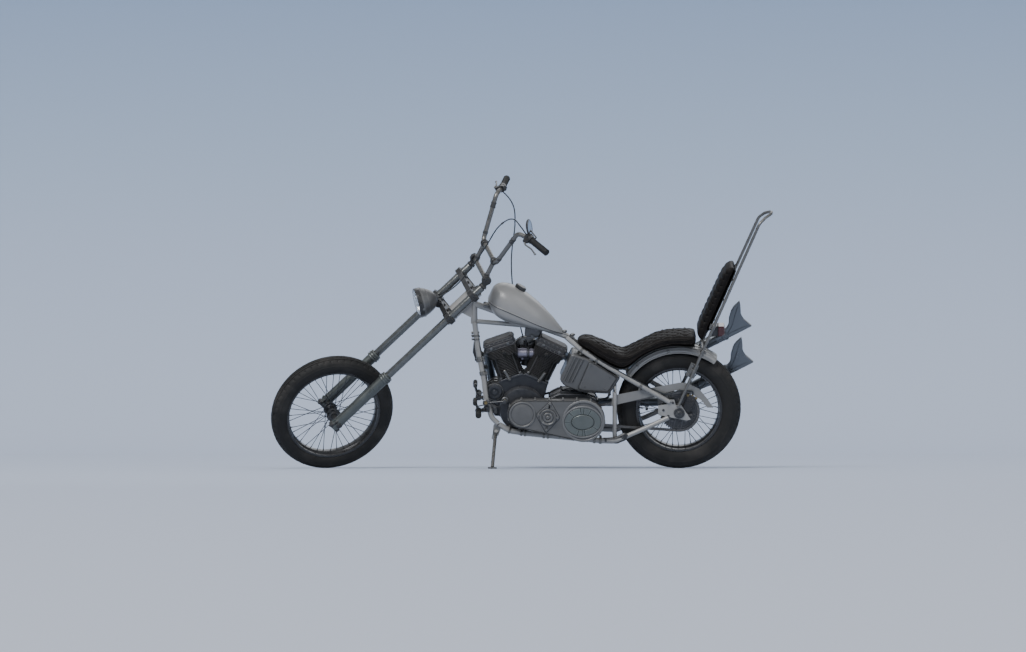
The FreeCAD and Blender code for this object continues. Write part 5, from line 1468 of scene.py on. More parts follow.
for x, z, dx in ((610, 745, 12), (568, 726, 10)):
    parts.append(rod((x, 0, z - 16), (x + 2, 0, z + 12), 6, 18))
    parts.append(lathe([(0, 0), (13, 0), (14, 2), (14, 8), (11, 11), (0, 12)], (x + 1, 0, z + 2), (0.1, 0, 1), 28))
parts.append(soft_prism(corner_round([(640, 752), (560, 722), (556, 712), (640, 736)], 3, 2), -16, 16, 1.2))
for s in (1, -1):
    parts.append(rod((1006, s * 20, 900), (1040, s * 26, 896), 8, 18))
    parts.append(bolt((1036, s * 32, 897), (0, s, 0), 8, 6))
# fuel tap and its pipe down to the carburettor
parts.append(rod((742, -34, 772), (742, -34, 742), 8, 18))
parts.append(slab((742, -34, 740), (22, 16, 14), r=3))
parts.append(rod((742, -42, 740), (742, -60, 740), 4, 12))
piece("tank_fittings", parts, BIKE, "frame", M["steel"])
piece("fuel_pipe", [tube(rounded([(742, -34, 734), (744, -40, 706), (770, -52, 688), (800, -60, 672)], 40, 10), 4.2, 14)], BIKE, "frame", M["wire"])

# ------------------------------------------------------------------ oil tank
OIL = [(573, 648), (490, 620), (343, 530), (313, 517), (372, 428), (520, 437), (610, 470), (638, 504)]
body = corner_round(OIL, 16, 5)
parts = [soft_prism(body, -90, 90, 6.0), soft_prism(inset(body, -1.5), 60, 66, 2.0), soft_prism(inset(body, -1.5), -66, -60, 2.0)]
main = corner_round([(478, 606), (350, 528), (334, 514), (380, 442), (512, 449), (540, 460)], 12, 4)
for s in (1, -1):
    parts.append(soft_prism(main, 84 * s if s > 0 else -95, 95 if s > 0 else -84, 3.5))
    for off in (12, 32, 52):
        a, b = V3((567 - off, s * 90.5, 636 - off * 0.3)), V3((628 - off, s * 90.5, 500 - off * 0.2))
        parts.append(rod(a, b, 3.4, 12, 1.0))
        parts.append(rod(a + V3((8, 0, 2)), b + V3((8, 0, 2)), 2.0, 10, 0.8))
# black rods between the raised ribs and a black line round the foot of the raised panel: painted shade in the gaps and
# at the panel's edge
dark = []
for s in (1, -1):
    for off in (6, 19, 27, 39, 47, 59):
        dark.append(rod(V3((567 - off, s * 90.3, 634 - off * 0.3)), V3((628 - off, s * 90.3, 502 - off * 0.2)), 2.6, 8))
    dark.append(tube([(q[0], s * 91.5, q[1]) for q in inset(main, -2.2)], 2.6, 8, closed=True))
piece("oil_tank_shade_lines", dark, BIKE, "frame", M["black"])
for x, z in ((470, 585), (372, 520), (400, 460), (505, 470)):
    for s in (1, -1):
        parts.append(screw((x, s * 95, z), (0, s, 0), 4.2, 3))
piece("oil_tank_panels", parts, BIKE, "frame", M["panel"], ["oil_tank"], bevel=0.3)
parts = [lathe([(0, 0), (22, 0), (23, 2), (23, 12), (20, 15), (0, 16)], (470, 58, 606), (-0.52, 0, 0.85), 40),
         rod((372, 40, 432), (372, 40, 414), 8, 18), hexa((372, 40, 416), (0, 0, -1), 10, 6),
         rod((500, -50, 440), (500, -50, 420), 6, 16)]
piece("oil_tank_fittings", parts, BIKE, "frame", M["steel"])
parts = [tube(rounded([(372, 40, 416), (380, 42, 396), (430, 40, 380), (452, 36, 372)], 40, 8), 6, 14),
         tube(rounded([(500, -50, 424), (520, -58, 404), (600, -70, 410), (700, -80, 392), (742, -86, 380)], 40, 8), 6, 14)]
piece("oil_hoses", parts, BIKE, "frame", M["wire"])

# ------------------------------------------------------------------ exhaust details
EXH = {"front": (79.5, 320.0, (-268, 499), (975, 320)), "rear": (90.0, 519.0, (-257, 698), (555, 519))}
FT = [(-6, -22), (-6, 22), (14, 25), (33, 37), (50, 66), (78, 97), (98, 111), (141, 124), (134, 101), (115, 59), (116, 31), (127, 5), (138, -21)]
for label, (bx, bz, neck, low) in EXH.items():
    slope = math.atan2(neck[1] - bz, bx - neck[0])
    u_ = V3((-math.cos(slope), 0, math.sin(slope)))
    w_ = V3((math.sin(slope), 0, math.cos(slope)))
    end = V3((neck[0], -176, neck[1]))
    start = V3((bx, -176, bz)) + u_ * 120
    parts = [ring([(29, -9), (32.5, -9), (33.5, -8), (33.5, 8), (32.5, 9), (29, 9)], start - u_ * 14, u_, 48),
             ring([(23, -12), (26.5, -12), (27.5, -11), (27.5, 11), (26.5, 12), (23, 12)], V3((bx + 90, -176, bz)), (1, 0, 0), 48),
             ring([(29, -7), (32.5, -7), (33.5, -6), (33.5, 6), (32.5, 7), (29, 7)], end - u_ * 10, u_, 48),
             torus(end - u_ * 26, u_, 30, 1.8, 48, 8), torus(end - u_ * 32, u_, 30, 1.8, 48, 8)]
    for t in (0.3, 0.32, 0.75, 0.77):
        parts.append(torus(start + (end - start) * t, u_, 30, 1.4, 48, 8))
    # clamp ears and their bolts
    for c in (start - u_ * 14, V3((bx + 90, -176, bz))):
        parts.append(slab(c + V3((0, 0, -38)), (14, 12, 16), r=2))
        parts.append(hexa(c + V3((0, -6, -40)), (0, -1, 0), 6, 5))
    # raised spine along the middle of the fishtail and edge welds
    mid_ = [end + u_ * a + w_ * b for a, b in ((6, 0), (40, 22), (70, 52), (98, 84), (124, 108))]
    mid_2 = [end + u_ * a + w_ * b for a, b in ((6, -6), (44, -4), (80, -6), (118, -10))]
    for s in (1, -1):
        parts.append(tube(rounded([p + Y * (17.4 * s) for p in mid_], 60, 6), 2.4, 10))
        parts.append(tube(rounded([p + Y * (17.4 * s) for p in mid_2], 60, 6), 2.0, 10))
        weld = [end + u_ * a + w_ * b + Y * (16.2 * s) for a, b in FT[1:8]]
        parts.append(tube(rounded(weld, 40, 6), 2.2, 8))
        weld = [end + u_ * a + w_ * b + Y * (16.2 * s) for a, b in (FT[0], (60, -22), FT[12])]
        parts.append(tube(weld, 2.2, 8))
    piece(label + "_exhaust_fittings", parts, BIKE, "frame", M["exhaust"])
    # a black strip along the fishtail's open end: painted shade inside its mouth
    edge = rounded([(FT[i][0], 0, FT[i][1]) for i in (7, 8, 9, 10, 11, 12)], 40, 6)
    vs, fs = [], []
    path = [end + u_ * p.x + w_ * p.z for p in edge]
    for i, p in enumerate(path):
        d = (path[min(i + 1, len(path) - 1)] - path[max(i - 1, 0)]).normalized()
        nrm = d.cross(Y).normalized()
        if nrm.dot(u_) < 0:
            nrm = -nrm
        for yy, o in ((-13, 0.4), (-11, 1.2), (11, 1.2), (13, 0.4), (13, -3), (-13, -3)):
            vs.append(p + nrm * o + Y * yy)
    for i in range(len(path) - 1):
        for k in range(6):
            k2 = (k + 1) % 6
            fs.append((i * 6 + k, i * 6 + k2, (i + 1) * 6 + k2, (i + 1) * 6 + k))
    fs += [tuple(range(6)), tuple((len(path) - 1) * 6 + k for k in range(6))]
    piece(label + "_exhaust_mouth_shade", [(vs, fs)], BIKE, "frame", M["black"], sharp=40)
    a = FA if label == "front" else RA
    port = bank(a, 322, 70 if label == "front" else -70)
    nut = [ring([(22, -5), (31, -5), (32, -4), (32, 4), (31, 5), (22, 5)], V3((port.x, -74, port.z)), Y, 40)]
    for k in range(3):
        an = math.radians(120 * k + 60)
        nut.append(hexa((port.x + 27 * math.cos(an), -78, port.z + 27 * math.sin(an)), -Y, 6, 6))
    piece(label + "_port_flange", nut, BIKE, "frame", M["steel"])

# ------------------------------------------------------------------ fender beads, stays and bolts
parts = []
for s in (1, -1):
    arc = [V3((318 * math.cos(math.radians(t)), 73.0 * s, 332 + 318 * math.sin(math.radians(t)))) for t in np.linspace(35.5, 125.5, 60)]
    parts.append(tube(arc, 3.2, 10))
    arc = [V3((343.5 * math.cos(math.radians(t)), 64.0 * s, 332 + 343.5 * math.sin(math.radians(t)))) for t in np.linspace(36.5, 124.5, 60)]
    parts.append(tube(arc, 1.6, 8))
arc = [V3((347.4 * math.cos(math.radians(t)), 0, 332 + 347.4 * math.sin(math.radians(t)))) for t in np.linspace(36, 125, 60)]
parts.append(tube(arc, 2.2, 8))
for t in (36, 125):
    c_, s__ = math.cos(math.radians(t)), math.sin(math.radians(t))
    parts.append(tube(rounded([V3((318 * c_, 72, 332 + 318 * s__)), V3((344 * c_, 66, 332 + 344 * s__)), V3((348 * c_, 0, 332 + 348 * s__)), V3((344 * c_, -66, 332 + 344 * s__)), V3((318 * c_, -72, 332 + 318 * s__))], 20, 6), 3.0, 10))
piece("fender_beads", parts, BIKE, "frame", M["tank"])
parts = []
for t in (48, 80, 112):
    c_, s__ = math.cos(math.radians(t)), math.sin(math.radians(t))
    for s in (1, -1):
        parts.append(bolt(V3((331 * c_, 72.0 * s, 332 + 331 * s__)), (0, s, 0), 6, 4))
LEGP = rounded([(5, 133, 372), (-312, 97, 1101), (-424, 84, 1358), (-455, 62, 1386), (-490, 26, 1402)], 45)
for s in (1, -1):
    f = (lambda p: V3((p.x, p.y * s, p.z)))
    p1, d1 = on_path(LEGP, 2, 560)
    p2, d2 = on_path(LEGP, 2, 800)
    p3, d3 = on_path(LEGP, 2, 668)
    d1 = V3((d1.x, d1.y * s, d1.z))
    parts += collar(f(p1), d1, 8, 22, (1, 0, 0.4)) + collar(f(p2), d1, 8, 26, (1, 0, 0.4)) + collar(f(p3), d1, 8, 18, (-1, 0, -0.4))
    # a flat plate where the leg bolts to the fender
    w3 = V3((0.917, 0, 0.399))
    pl = f(p1) - V3((0, 10 * s, 0))
    parts.append(slab(pl + w3 * 8, (46, 6, 78), (w3, V3((0, 1, 0)), V3((-0.399, 0, 0.917))), 2))
    for k in (-26, 26):
        parts.append(bolt(pl + w3 * 18 + V3((-0.399, 0, 0.917)) * k + V3((0, 4 * s, 0)), (0, s, 0), 6, 4))
    parts.append(rod(f(V3((5, 133, 372))) - V3((0, 14 * s, 0)), f(V3((5, 133, 372))) + V3((0, 9 * s, 0)), 7, 18))
    parts.append(hexa(f(V3((5, 133, 372))) + V3((0, 7 * s, 0)), (0, s, 0), 10, 7))
piece("sissy_bar_fittings", parts, BIKE, "frame", M["bar"], bevel=0.2)

# ------------------------------------------------------------------ drive chain of links
loop = hull_of((512, 307), 42.0, (0, 332), 105.0, 60)
pts = [Vector(q) for q in loop] + [Vector(loop[0])]
total = sum((b - a).length for a, b in zip(pts, pts[1:]))
count = int(round(total / 15.875 / 2)) * 2
pitch = total / count
pins, acc = [], 0.0
k = 0
for a, b in zip(pts, pts[1:]):
    L_ = (b - a).length
    while k * pitch <= acc + L_ + 1e-6 and len(pins) < count:
        pins.append(a + (b - a) * ((k * pitch - acc) / L_) if L_ > 0 else a.copy())
        k += 1
    acc += L_
plates, rolls = [], []
for i in range(count):
    a, b = pins[i], pins[(i + 1) % count]
    d = (b - a).normalized()
    nn = Vector((-d.y, d.x))
    outer_link = i % 2 == 0
    r_ = 6.4 if outer_link else 6.9
    outl = []
    for c, sg in ((b, 1), (a, -1)):
        for t in np.linspace(-90, 90, 7):
            q = c + (d * math.cos(math.radians(t)) * sg + nn * math.sin(math.radians(t)) * sg) * r_
            outl.append((q.x, q.y))
    for y0 in ((85 - 7.4, 85 + 5.6) if outer_link else (85 - 5.2, 85 + 3.6)):
        plates.append(prism(outl, y0, y0 + 1.7))
    rolls.append(rod((a.x, 77.6, a.y), (a.x, 92.4, a.y), 2.6, 10))
    rolls.append(rod((a.x, 81.0, a.y), (a.x, 89.0, a.y), 4.9, 14))
piece("chain_links", plates, BIKE, "frame", M["chain"], ["drive_chain"])
piece("chain_rollers", rolls, BIKE, "frame", M["dark_steel"])
# gearbox sprocket inside the chain's front bend
prof = []
for i in range(17):
    for fr_, rr_ in ((0.0, 37.0), (0.28, 37.0), (0.42, 44.5), (0.58, 44.5), (0.72, 37.0)):
        t = 2 * math.pi * (i + fr_) / 17
        prof.append((512 + rr_ * math.cos(t), 307 + rr_ * math.sin(t)))
piece("gearbox_sprocket", [prism(prof, 82.5, 87.5), rod((512, 60, 307), (512, 92, 307), 17, 32), hexa((512, 90, 307), Y, 22, 9)], BIKE, "frame", M["dark_steel"])

# ------------------------------------------------------------------ caliper
ax_ = (V3((math.cos(math.radians(-20)), 0, math.sin(math.radians(20)))), Y, V3((-math.sin(math.radians(20)), 0, math.cos(math.radians(-20)))))
c = V3((-62, 103, 398))
parts = [slab(c, (56, 13.5, 50), ax_, 3.5), slab(c + Y * 5.5, (40, 4, 34), ax_, 1.6)]
for k in (-1, 1):
    q = c + ax_[0] * (14 * k)
    parts.append(rod(q + Y * 5, q + Y * 9.4, 11, 36, 1.2))
    parts.append(ring([(6, 0), (9, 0), (9, 1.4), (6, 1.4)], q + Y * 9.0, Y, 30))
    parts.append(rod(c + ax_[0] * (24 * k) + ax_[2] * 22, c + ax_[0] * (24 * k) - ax_[2] * 24, 4.4, 16))
parts.append(soft_prism(corner_round([(-30, 385), (-80, 385), (-52, 330), (-14, 352)], 6, 3), 104.7, 112.3, 1.2))
piece("caliper_body", parts, BIKE, "frame", M["alloy"], ["brake_caliper"], bevel=0.3)
parts = [bolt(c + ax_[0] * 24 * k + ax_[2] * 21 + Y * 6.4, Y, 5.5, 4) for k in (-1, 1)]
parts += [rod(c + ax_[2] * 25, c + ax_[2] * 33, 3.6, 12), hexa(c + ax_[2] * 27, ax_[2], 5.5, 4)]
piece("caliper_bolts", parts, BIKE, "frame", M["brass"])
piece("brake_hose", [tube(rounded([c + ax_[2] * 32, c + ax_[2] * 52 + V3((6, 2, 0)), V3((0, 108, 452)), V3((70, 118, 430)), V3((160, 116, 470)), V3((300, 108, 545)), V3((420, 88, 612))], 60, 10), 4.0, 14)], BIKE, "frame", M["wire"])

# ------------------------------------------------------------------ tail light
tl = V3((-204, 0, 789))
tu, tw = V3((-0.3989, 0, 0.9170)), V3((0.9170, 0, 0.3989))


def tail_prism(outline, y0, y1, c_):
    vs, fs = soft_prism(outline, y0, y1, c_)
    return vs, fs


pack_ = corner_round([(tl.x + 38, tl.z), (tl.x + 38, tl.z - 46), (tl.x + 26, tl.z - 56), (tl.x - 26, tl.z - 56), (tl.x - 38, tl.z - 46), (tl.x - 38, tl.z)], 7, 4)
rear_part = corner_round([(tl.x - 2, tl.z - 1), (tl.x - 2, tl.z - 55), (tl.x - 26, tl.z - 55), (tl.x - 37.5, tl.z - 45), (tl.x - 37.5, tl.z - 1)], 6, 4)
parts = [soft_prism(rear_part, -46, 46, 4.0)]
for k in range(6):
    z = tl.z - 8 - 8 * k
    parts.append(slab((tl.x - 37.2, 0, z), (2.0, 84 - k * 1.0, 4.2), r=0.9))
piece("tail_lens", parts, BIKE, "frame", M["red"], ["tail_light"], bevel=0.3)
front_part = corner_round([(tl.x + 37.5, tl.z - 1), (tl.x + 37.5, tl.z - 46), (tl.x + 26, tl.z - 55.5), (tl.x - 1, tl.z - 55.5), (tl.x - 1, tl.z - 1)], 6, 4)
parts = [soft_prism(front_part, -47.5, 47.5, 5.0), slab((tl.x - 1, 0, tl.z - 28), (4, 96, 56), r=1.6)]
for s in (1, -1):
    parts.append(screw((tl.x + 10, 47.5 * s, tl.z - 14), (0, s, 0), 4, 3))
piece("tail_housing", parts, BIKE, "frame", M["black"])

# ------------------------------------------------------------------ foot controls
steel_, rub_ = [], []
for s in (1, -1):
    P = lambda x, y, z: V3((x, y * s, z))
    steel_ += [tube(rounded([P(1024, 112, 352), P(1040, 130, 353), P(1060, 146, 352), P(1071, 152, 352)], 20, 6), 8.5, 18),
               rod(P(1071, 142, 352), P(1071, 169, 352), 12.6, 32), rod(P(1071, 145, 352), P(1071, 165, 352), 15, 6),
               ring([(12, -3), (18, -3), (18, 3), (12, 3)], P(1071, 150, 352), Y, 32),
               tube(rounded([P(1071, 158, 352), P(1078, 160, 374), P(1086, 160, 396), P(1089, 158, 416)], 30, 6), 7.2, 18),
               rod(P(1089, 150, 414), P(1089, 166, 414), 11.4, 28), hexa(P(1089, 150, 414), (0, -s, 0), 8, 6),
               soft_prism(corner_round([(1012, 372), (1042, 372), (1046, 352), (1040, 338), (1012, 338)], 6, 3), *(sorted((104 * s, 129 * s))), 2.0),
               bolt(P(1026, 129, 362), (0, s, 0), 6, 5), bolt(P(1026, 129, 346), (0, s, 0), 6, 5),
               rod(P(1078, 146, 374), P(1010, 128, 386), 3.4, 12), ball(P(1078, 146, 374), 6.2, 14), ball(P(1010, 128, 386), 6.2, 14),
               torus(P(1044, 138, 352), (1, 0.6 * s, 0), 10.5, 2.2, 28, 8), torus(P(1050, 142, 352), (1, 0.6 * s, 0), 10.5, 2.2, 28, 8)]
    prof_ = [(0, 0), (14.6, 0), (15.8, 1.4)]
    y_ = 3.0
    while y_ < 88:
        prof_ += [(15.9, y_), (15.9, y_ + 3.4), (13.4, y_ + 4.2), (13.4, y_ + 6.2)]
        y_ += 7.0
    prof_ += [(15.9, 89.5), (15.9, 92), (13.5, 94), (0, 94)]
    rub_.append(lathe(prof_, P(1071, 168, 352), (0, s, 0), 36))
    prof_ = [(0, 0), (10.8, 0), (11.8, 1.2)]
    y_ = 3.0
    while y_ < 74:
        prof_ += [(11.9, y_), (11.9, y_ + 3.2), (9.8, y_ + 4.0), (9.8, y_ + 5.6)]
        y_ += 6.4
    prof_ += [(11.9, 79), (11.9, 80.5), (10, 82), (0, 82)]
    rub_.append(lathe(prof_, P(1089, 166, 414), (0, s, 0), 32))
piece("foot_levers", steel_, BIKE, "frame", M["dark_steel"], ["foot_controls"], bevel=0.2)
piece("foot_rubbers", rub_, BIKE, "frame", M["rubber"])
# shift rod back to the gearbox on the left, clutter of pivots by the downtube
parts = [rod((1016, 134, 392), (930, 136, 400), 4.2, 14), ball((1016, 134, 392), 7, 14), ball((930, 136, 400), 7, 14),
         rod((930, 112, 400), (930, 142, 400), 9, 24), lathe([(0, 0), (19, 0), (20, 2), (20, 8), (16, 11), (0, 12)], (930, 118, 400), Y, 32),
         rod((1032, 96, 392), (1032, 140, 392), 8, 22), lathe([(0, 0), (16, 0), (17, 2), (17, 7), (13, 10), (0, 11)], (1032, 128, 392), Y, 32)]
piece("shift_linkage", parts, BIKE, "frame", M["dark_steel"])
parts = [lathe([(0, 0), (10, 0), (10, 3), (0, 4)], (930, 130, 400), Y, 24), lathe([(0, 0), (9, 0), (9, 3), (0, 4)], (1032, 139, 392), Y, 24),
         lathe([(0, 0), (9, 0), (9, 3), (0, 4)], (1071, 168 + 93, 352), Y, 24)]
piece("pivot_caps", parts[:2], BIKE, "frame", M["brass"])

# ------------------------------------------------------------------ cables
THR = [(947, -206, 1474), (882, -178, 1426), (873, -158, 1301), (895, -140, 1163), (896, -138, 1050), (888, -140, 950), (862, -128, 800), (826, -84, 672)]


def bspline(points, n=14):
    """A smooth line through the arcs that a run of points bends to."""
    p = [V3(q) for q in points]
    out = [p[0]]
    for i in range(1, len(p) - 1):
        a = p[0] if i == 1 else (p[i - 1] + p[i]) / 2
        b = p[-1] if i == len(p) - 2 else (p[i] + p[i + 1]) / 2
        for k in range(1, n + 1):
            t = k / n
            out.append(a * (1 - t) ** 2 + p[i] * 2 * t * (1 - t) + b * t * t)
    return out


thr = bspline(THR)
o = piece("throttle_hose", [tube(thr, 3.4, 14)], BIKE, None, M["wire"], ["throttle_cable"], sharp=180)
tuple(BIKE @ V3((892, -139, 960)))
tuple(BIKE @ V3((878, -160, 1360)))
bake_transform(o)
piece("throttle_ferrule", [rod((828, -88, 676), (836, -98, 702), 5.2, 16), hexa((829, -89, 680), (8, -10, 26), 6.5, 6)], BIKE, "frame", M["steel"])
LEADP = [(114, 300, 1470), (196, 285, 1486), (242, 222, 1487), (198, 110, 1372), (107, 30, 1232), (60, -8, 1110), (40, -4, 1000), (46, 0, 915), (68, 0, 838)]
lead_ = bspline(LEADP)
piece("lamp_lead_hose", [tube(lead_, 3.4, 14)], FORK, "fork", M["wire"], ["headlight_cable"], sharp=180)
piece("lamp_lead_clips", [torus(lead_[i], (lead_[i + 1] - lead_[i - 1]), 4.2, 1.6, 20, 8) for i in (30, 31, 62, 63)], FORK, "fork", M["black"])

# ------------------------------------------------------------------ upholstery
from mathutils.bvhtree import BVHTree

SEAT_TOP = [(551, 702), (540, 724), (518, 737), (480, 731), (432, 702), (384, 676), (338, 654), (306, 645), (269, 652), (229, 674), (188, 698), (147, 719), (98, 741), (37, 749), (-78, 751), (-92, 748)]
SEAT_LOW = [(-92, 690), (-78, 687), (37, 695), (98, 684), (147, 666), (188, 645), (229, 615), (269, 577), (292, 560), (351, 577), (432, 625), (514, 674), (548, 692)]
SEAT_W = [(556, 36), (540, 55), (500, 78), (440, 108), (380, 122), (-96, 122)]
TOPX, TOPZ = [p[0] for p in reversed(SEAT_TOP)], [p[1] for p in reversed(SEAT_TOP)]
LOWX, LOWZ = [p[0] for p in SEAT_LOW], [p[1] for p in SEAT_LOW]
WX, WW = [p[0] for p in reversed(SEAT_W)], [p[1] for p in reversed(SEAT_W)]


def smooth_line(xs, zs, n=400, w=22.0):
    """The outline with its corners eased over a short width."""
    g = np.linspace(xs[0], xs[-1], n)
    v = np.interp(g, xs, zs)
    k = np.exp(-0.5 * ((g[:, None] - g[None, :]) / w) ** 2)
    edge = np.minimum(g - xs[0], xs[-1] - g) / w
    sm = (k @ v) / k.sum(1)
    f = np.clip(edge / 1.5, 0, 1)
    return g, v * (1 - f) + sm * f


def soft_loop(centre, a_dir, b_dir, ha, hb, n, e_):
    out = []
    for k in range(n):
        t = 2 * math.pi * k / n
        out.append(centre + a_dir * (ha * power(math.cos(t), e_)) + b_dir * (hb * power(math.sin(t), e_)))
    return out


def lofted(loops):
    n = len(loops[0])
    vs = [v for lp in loops for v in lp]
    fs = []
    for i in range(len(loops) - 1):
        for k in range(n):
            k2 = (k + 1) % n
            fs.append((i * n + k, i * n + k2, (i + 1) * n + k2, (i + 1) * n + k))
    fs.append(tuple(range(n)))
    fs.append(tuple(range(len(loops) * n - 1, (len(loops) - 1) * n - 1, -1)))
    return vs, fs


def stuffed(name, loops, cap, voxel, relief, holes, shape_mat, replaces, pressure=4.0):
    """Foam under a cover: blown out by cloth simulation from a slightly smaller core, then sewn by relief()."""
    vs, fs = lofted(loops)
    me = bpy.data.meshes.new(name)
    me.from_pydata([tuple(BIKE @ V3(v)) for v in vs], [], fs)
    bm = bmesh.new()
    bm.from_mesh(me)
    bmesh.ops.recalc_face_normals(bm, faces=bm.faces)
    bm.to_mesh(me)
    bm.free()
    o = bpy.data.objects.new(name, me)
    bpy.context.scene.collection.objects.link(o)
    bpy.context.view_layer.objects.active = o
    rm = o.modifiers.new("remesh", "REMESH")
    rm.mode, rm.voxel_size = "VOXEL", voxel * 0.001
    bpy.context.view_layer.update()
    deps = bpy.context.evaluated_depsgraph_get()
    base = bpy.data.meshes.new_from_object(o.evaluated_get(deps))
    o.modifiers.clear()
    o.data = base
    bpy.data.meshes.remove(me)
    start = np.array([v.co for v in base.vertices], float)
    cl = o.modifiers.new("cloth", "CLOTH")
    st = cl.settings
    st.use_pressure = True
    st.uniform_pressure_force = pressure
    st.effector_weights.gravity = 0.0
    st.mass = 0.35
    st.tension_stiffness = st.compression_stiffness = 14
    st.bending_stiffness = 0.6
    st.quality = 5
    sc = bpy.context.scene
    for f in range(1, 21):
        sc.frame_set(f)
        deps = bpy.context.evaluated_depsgraph_get()
        done = o.evaluated_get(deps)
        now = np.array([v.co for v in done.data.vertices], float)
        if np.abs(now - start).max() > cap * 0.0013:
            break
    o.modifiers.clear()
    sc.frame_set(1)
    move = now - start
    far = np.linalg.norm(move, axis=1)
    k = np.minimum(1.0, cap * 0.001 / np.maximum(far, 1e-9))
    base.vertices.foreach_set("co", (start + move * k[:, None]).ravel())
    base.update()
    # one subdivision, then the sewing
    sd = o.modifiers.new("sub", "SUBSURF")
    sd.levels = sd.render_levels = 1
    bpy.context.view_layer.update()
    deps = bpy.context.evaluated_depsgraph_get()
    fine = bpy.data.meshes.new_from_object(o.evaluated_get(deps))
    o.modifiers.clear()
    o.data = fine
    inv = BIKE.inverted()
    co = np.array([inv @ v.co for v in fine.vertices], float)
    no = np.array([inv.to_3x3() @ v.normal for v in fine.vertices], float)
    no /= np.linalg.norm(no, axis=1)[:, None]
    co = co + no * relief(co, no)[:, None]
    m3 = np.array(BIKE.to_3x3())
    tr = np.array(BIKE.translation)
    world = co @ m3.T + tr
    fine.vertices.foreach_set("co", world.ravel())
    fine.update()
    fine.polygons.foreach_set("use_smooth", [True] * len(fine.polygons))
    fine.materials.clear()
    fine.materials.append(shape_mat)
    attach(o, "frame")
    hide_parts(*replaces)
    return o, BVHTree.FromPolygons([tuple(v) for v in world], [tuple(p.vertices) for p in fine.polygons])


def snapped(tree, pts, lift):
    """Points dropped on a padded surface, in the bike's frame."""
    out = []
    inv = BIKE.inverted()
    for p in pts:
        loc, nrm, _, _ = tree.find_nearest(BIKE @ V3(p))
        q = loc + nrm * (lift * 0.001)
        out.append((inv @ q, (inv.to_3x3() @ nrm).normalized()))
    return out


gx, gtop = smooth_line(TOPX, TOPZ)
lx, glow = smooth_line(LOWX, LOWZ)
loops = []
xs = np.concatenate([np.linspace(-86, -60, 8), np.linspace(-50, 500, 60), np.linspace(508, 543, 9)])
for x in xs:
    t_, l_, w_ = np.interp(x, gx, gtop), np.interp(x, lx, glow), np.interp(x, WX, WW)
    inset_ = 5.0 + 10.0 * max(0.0, (x - 500) / 43.0) ** 2
    ends = max(0.0, (-60 - x) / 26.0) ** 2 * 7
    hh = max(4.0, (t_ - l_) / 2 - inset_ * 0.9 - ends)
    loops.append(soft_loop(V3((x, 0, (t_ + l_) / 2)), Y, V3((0, 0, 1)), w_ - inset_ - ends, hh, 64, 0.42))


def seat_relief(co, no):
    x, y, z = co.T
    top = np.interp(x, gx, gtop)
    w_ = np.interp(x, WX, WW)
    edge = np.clip((w_ - 24 - np.abs(y)) / 8.0, 0, 1)
    ends = np.clip((x + 66) / 14.0, 0, 1) * np.clip((520 - x) / 14.0, 0, 1)
    up = np.clip((no[:, 2] - 0.15) / 0.4, 0, 1) * edge * ends
    # diamond tufts: seams along both diagonals, a button where they cross
    a, b = 31.0, 31.0
    s1 = (x / a + y / b) % 2.0
    s2 = (x / a - y / b) % 2.0
    d1 = np.minimum(s1, 2 - s1) * a * b / math.hypot(a, b)
    d2 = np.minimum(s2, 2 - s2) * a * b / math.hypot(a, b)
    seam = -2.2 * np.exp(-(d1 / 3.2) ** 2) - 2.2 * np.exp(-(d2 / 3.2) ** 2)
    button = -4.2 * np.exp(-(d1 ** 2 + d2 ** 2) / 90.0)
    puff = 1.7 * np.minimum(d1, d2) / 20.0
    # the welt line at the top edge and a sewn line along the sides
    side = np.clip((0.65 - no[:, 2]) / 0.3, 0, 1) * np.clip((no[:, 2] + 0.75) / 0.2, 0, 1)
    depth = top - z
    line = -1.8 * np.exp(-((depth - 20.0) / 2.2) ** 2) - 1.2 * np.exp(-((depth - 44.0) / 2.0) ** 2)
    wrinkle = 0.5 * np.sin(x / 9.0 + 2.0 * np.sin(z / 13.0)) * np.exp(-((depth - 30) / 16.0) ** 2)
    return up * (seam + button + puff) + side * (line + wrinkle)


seat_o, seat_tree = stuffed("seat_cover", loops, 9.0, 6.2, seat_relief, (), M["leather"], ["seat"])
btn, stitch = [], []
for i in range(-4, 20):
    for j in range(-4, 5):
        if (i + j) % 2:
            continue
        x, y = i * 31.0, j * 31.0
        if not (-52 < x < 508) or abs(y) > np.interp(x, WX, WW) - 28:
            continue
        p, nrm = snapped(seat_tree, [(x, y, float(np.interp(x, gx, gtop)) + 4)], 0.2)[0]
        btn.append(lathe([(0, -2.0), (5.6, -2.0), (6.2, 0.2), (4.6, 1.9), (2.0, 2.6), (0, 2.8)], p, nrm, 14))
piece("seat_buttons", btn, BIKE, "frame", M["pan"], sharp=60)
welt = []
for s in (1, -1):
    line = [(x, s * (float(np.interp(x, WX, WW)) - 1), float(np.interp(x, gx, gtop)) - 19) for x in np.linspace(-72, 520, 110)]
    pts_ = [p for p, _ in snapped(seat_tree, line, 1.2)]
    welt.append(tube(pts_, 2.6, 10))
    line = [(x, s * (float(np.interp(x, WX, WW)) + 4), float(np.interp(x, lx, glow)) + 10) for x in np.linspace(-72, 510, 110)]
    pts_ = [p for p, _ in snapped(seat_tree, line, 0.8)]
    welt.append(tube(pts_, 2.2, 10))
    row = snapped(seat_tree, [(x, s * float(np.interp(x, WX, WW)), float(np.interp(x, gx, gtop)) - 44) for x in np.linspace(-66, 512, 170)], 0.5)
    for (p, n1), (q, _) in zip(row[:-1:1], row[1::1]):
        d = (q - p)
        if d.length > 0.5:
            stitch.append(rod(p + d * 0.15, p + d * 0.75, 0.75, 6))
piece("seat_welt", welt, BIKE, "frame", M["leather"], sharp=180)
piece("seat_stitches", stitch, BIKE, "frame", M["thread"])
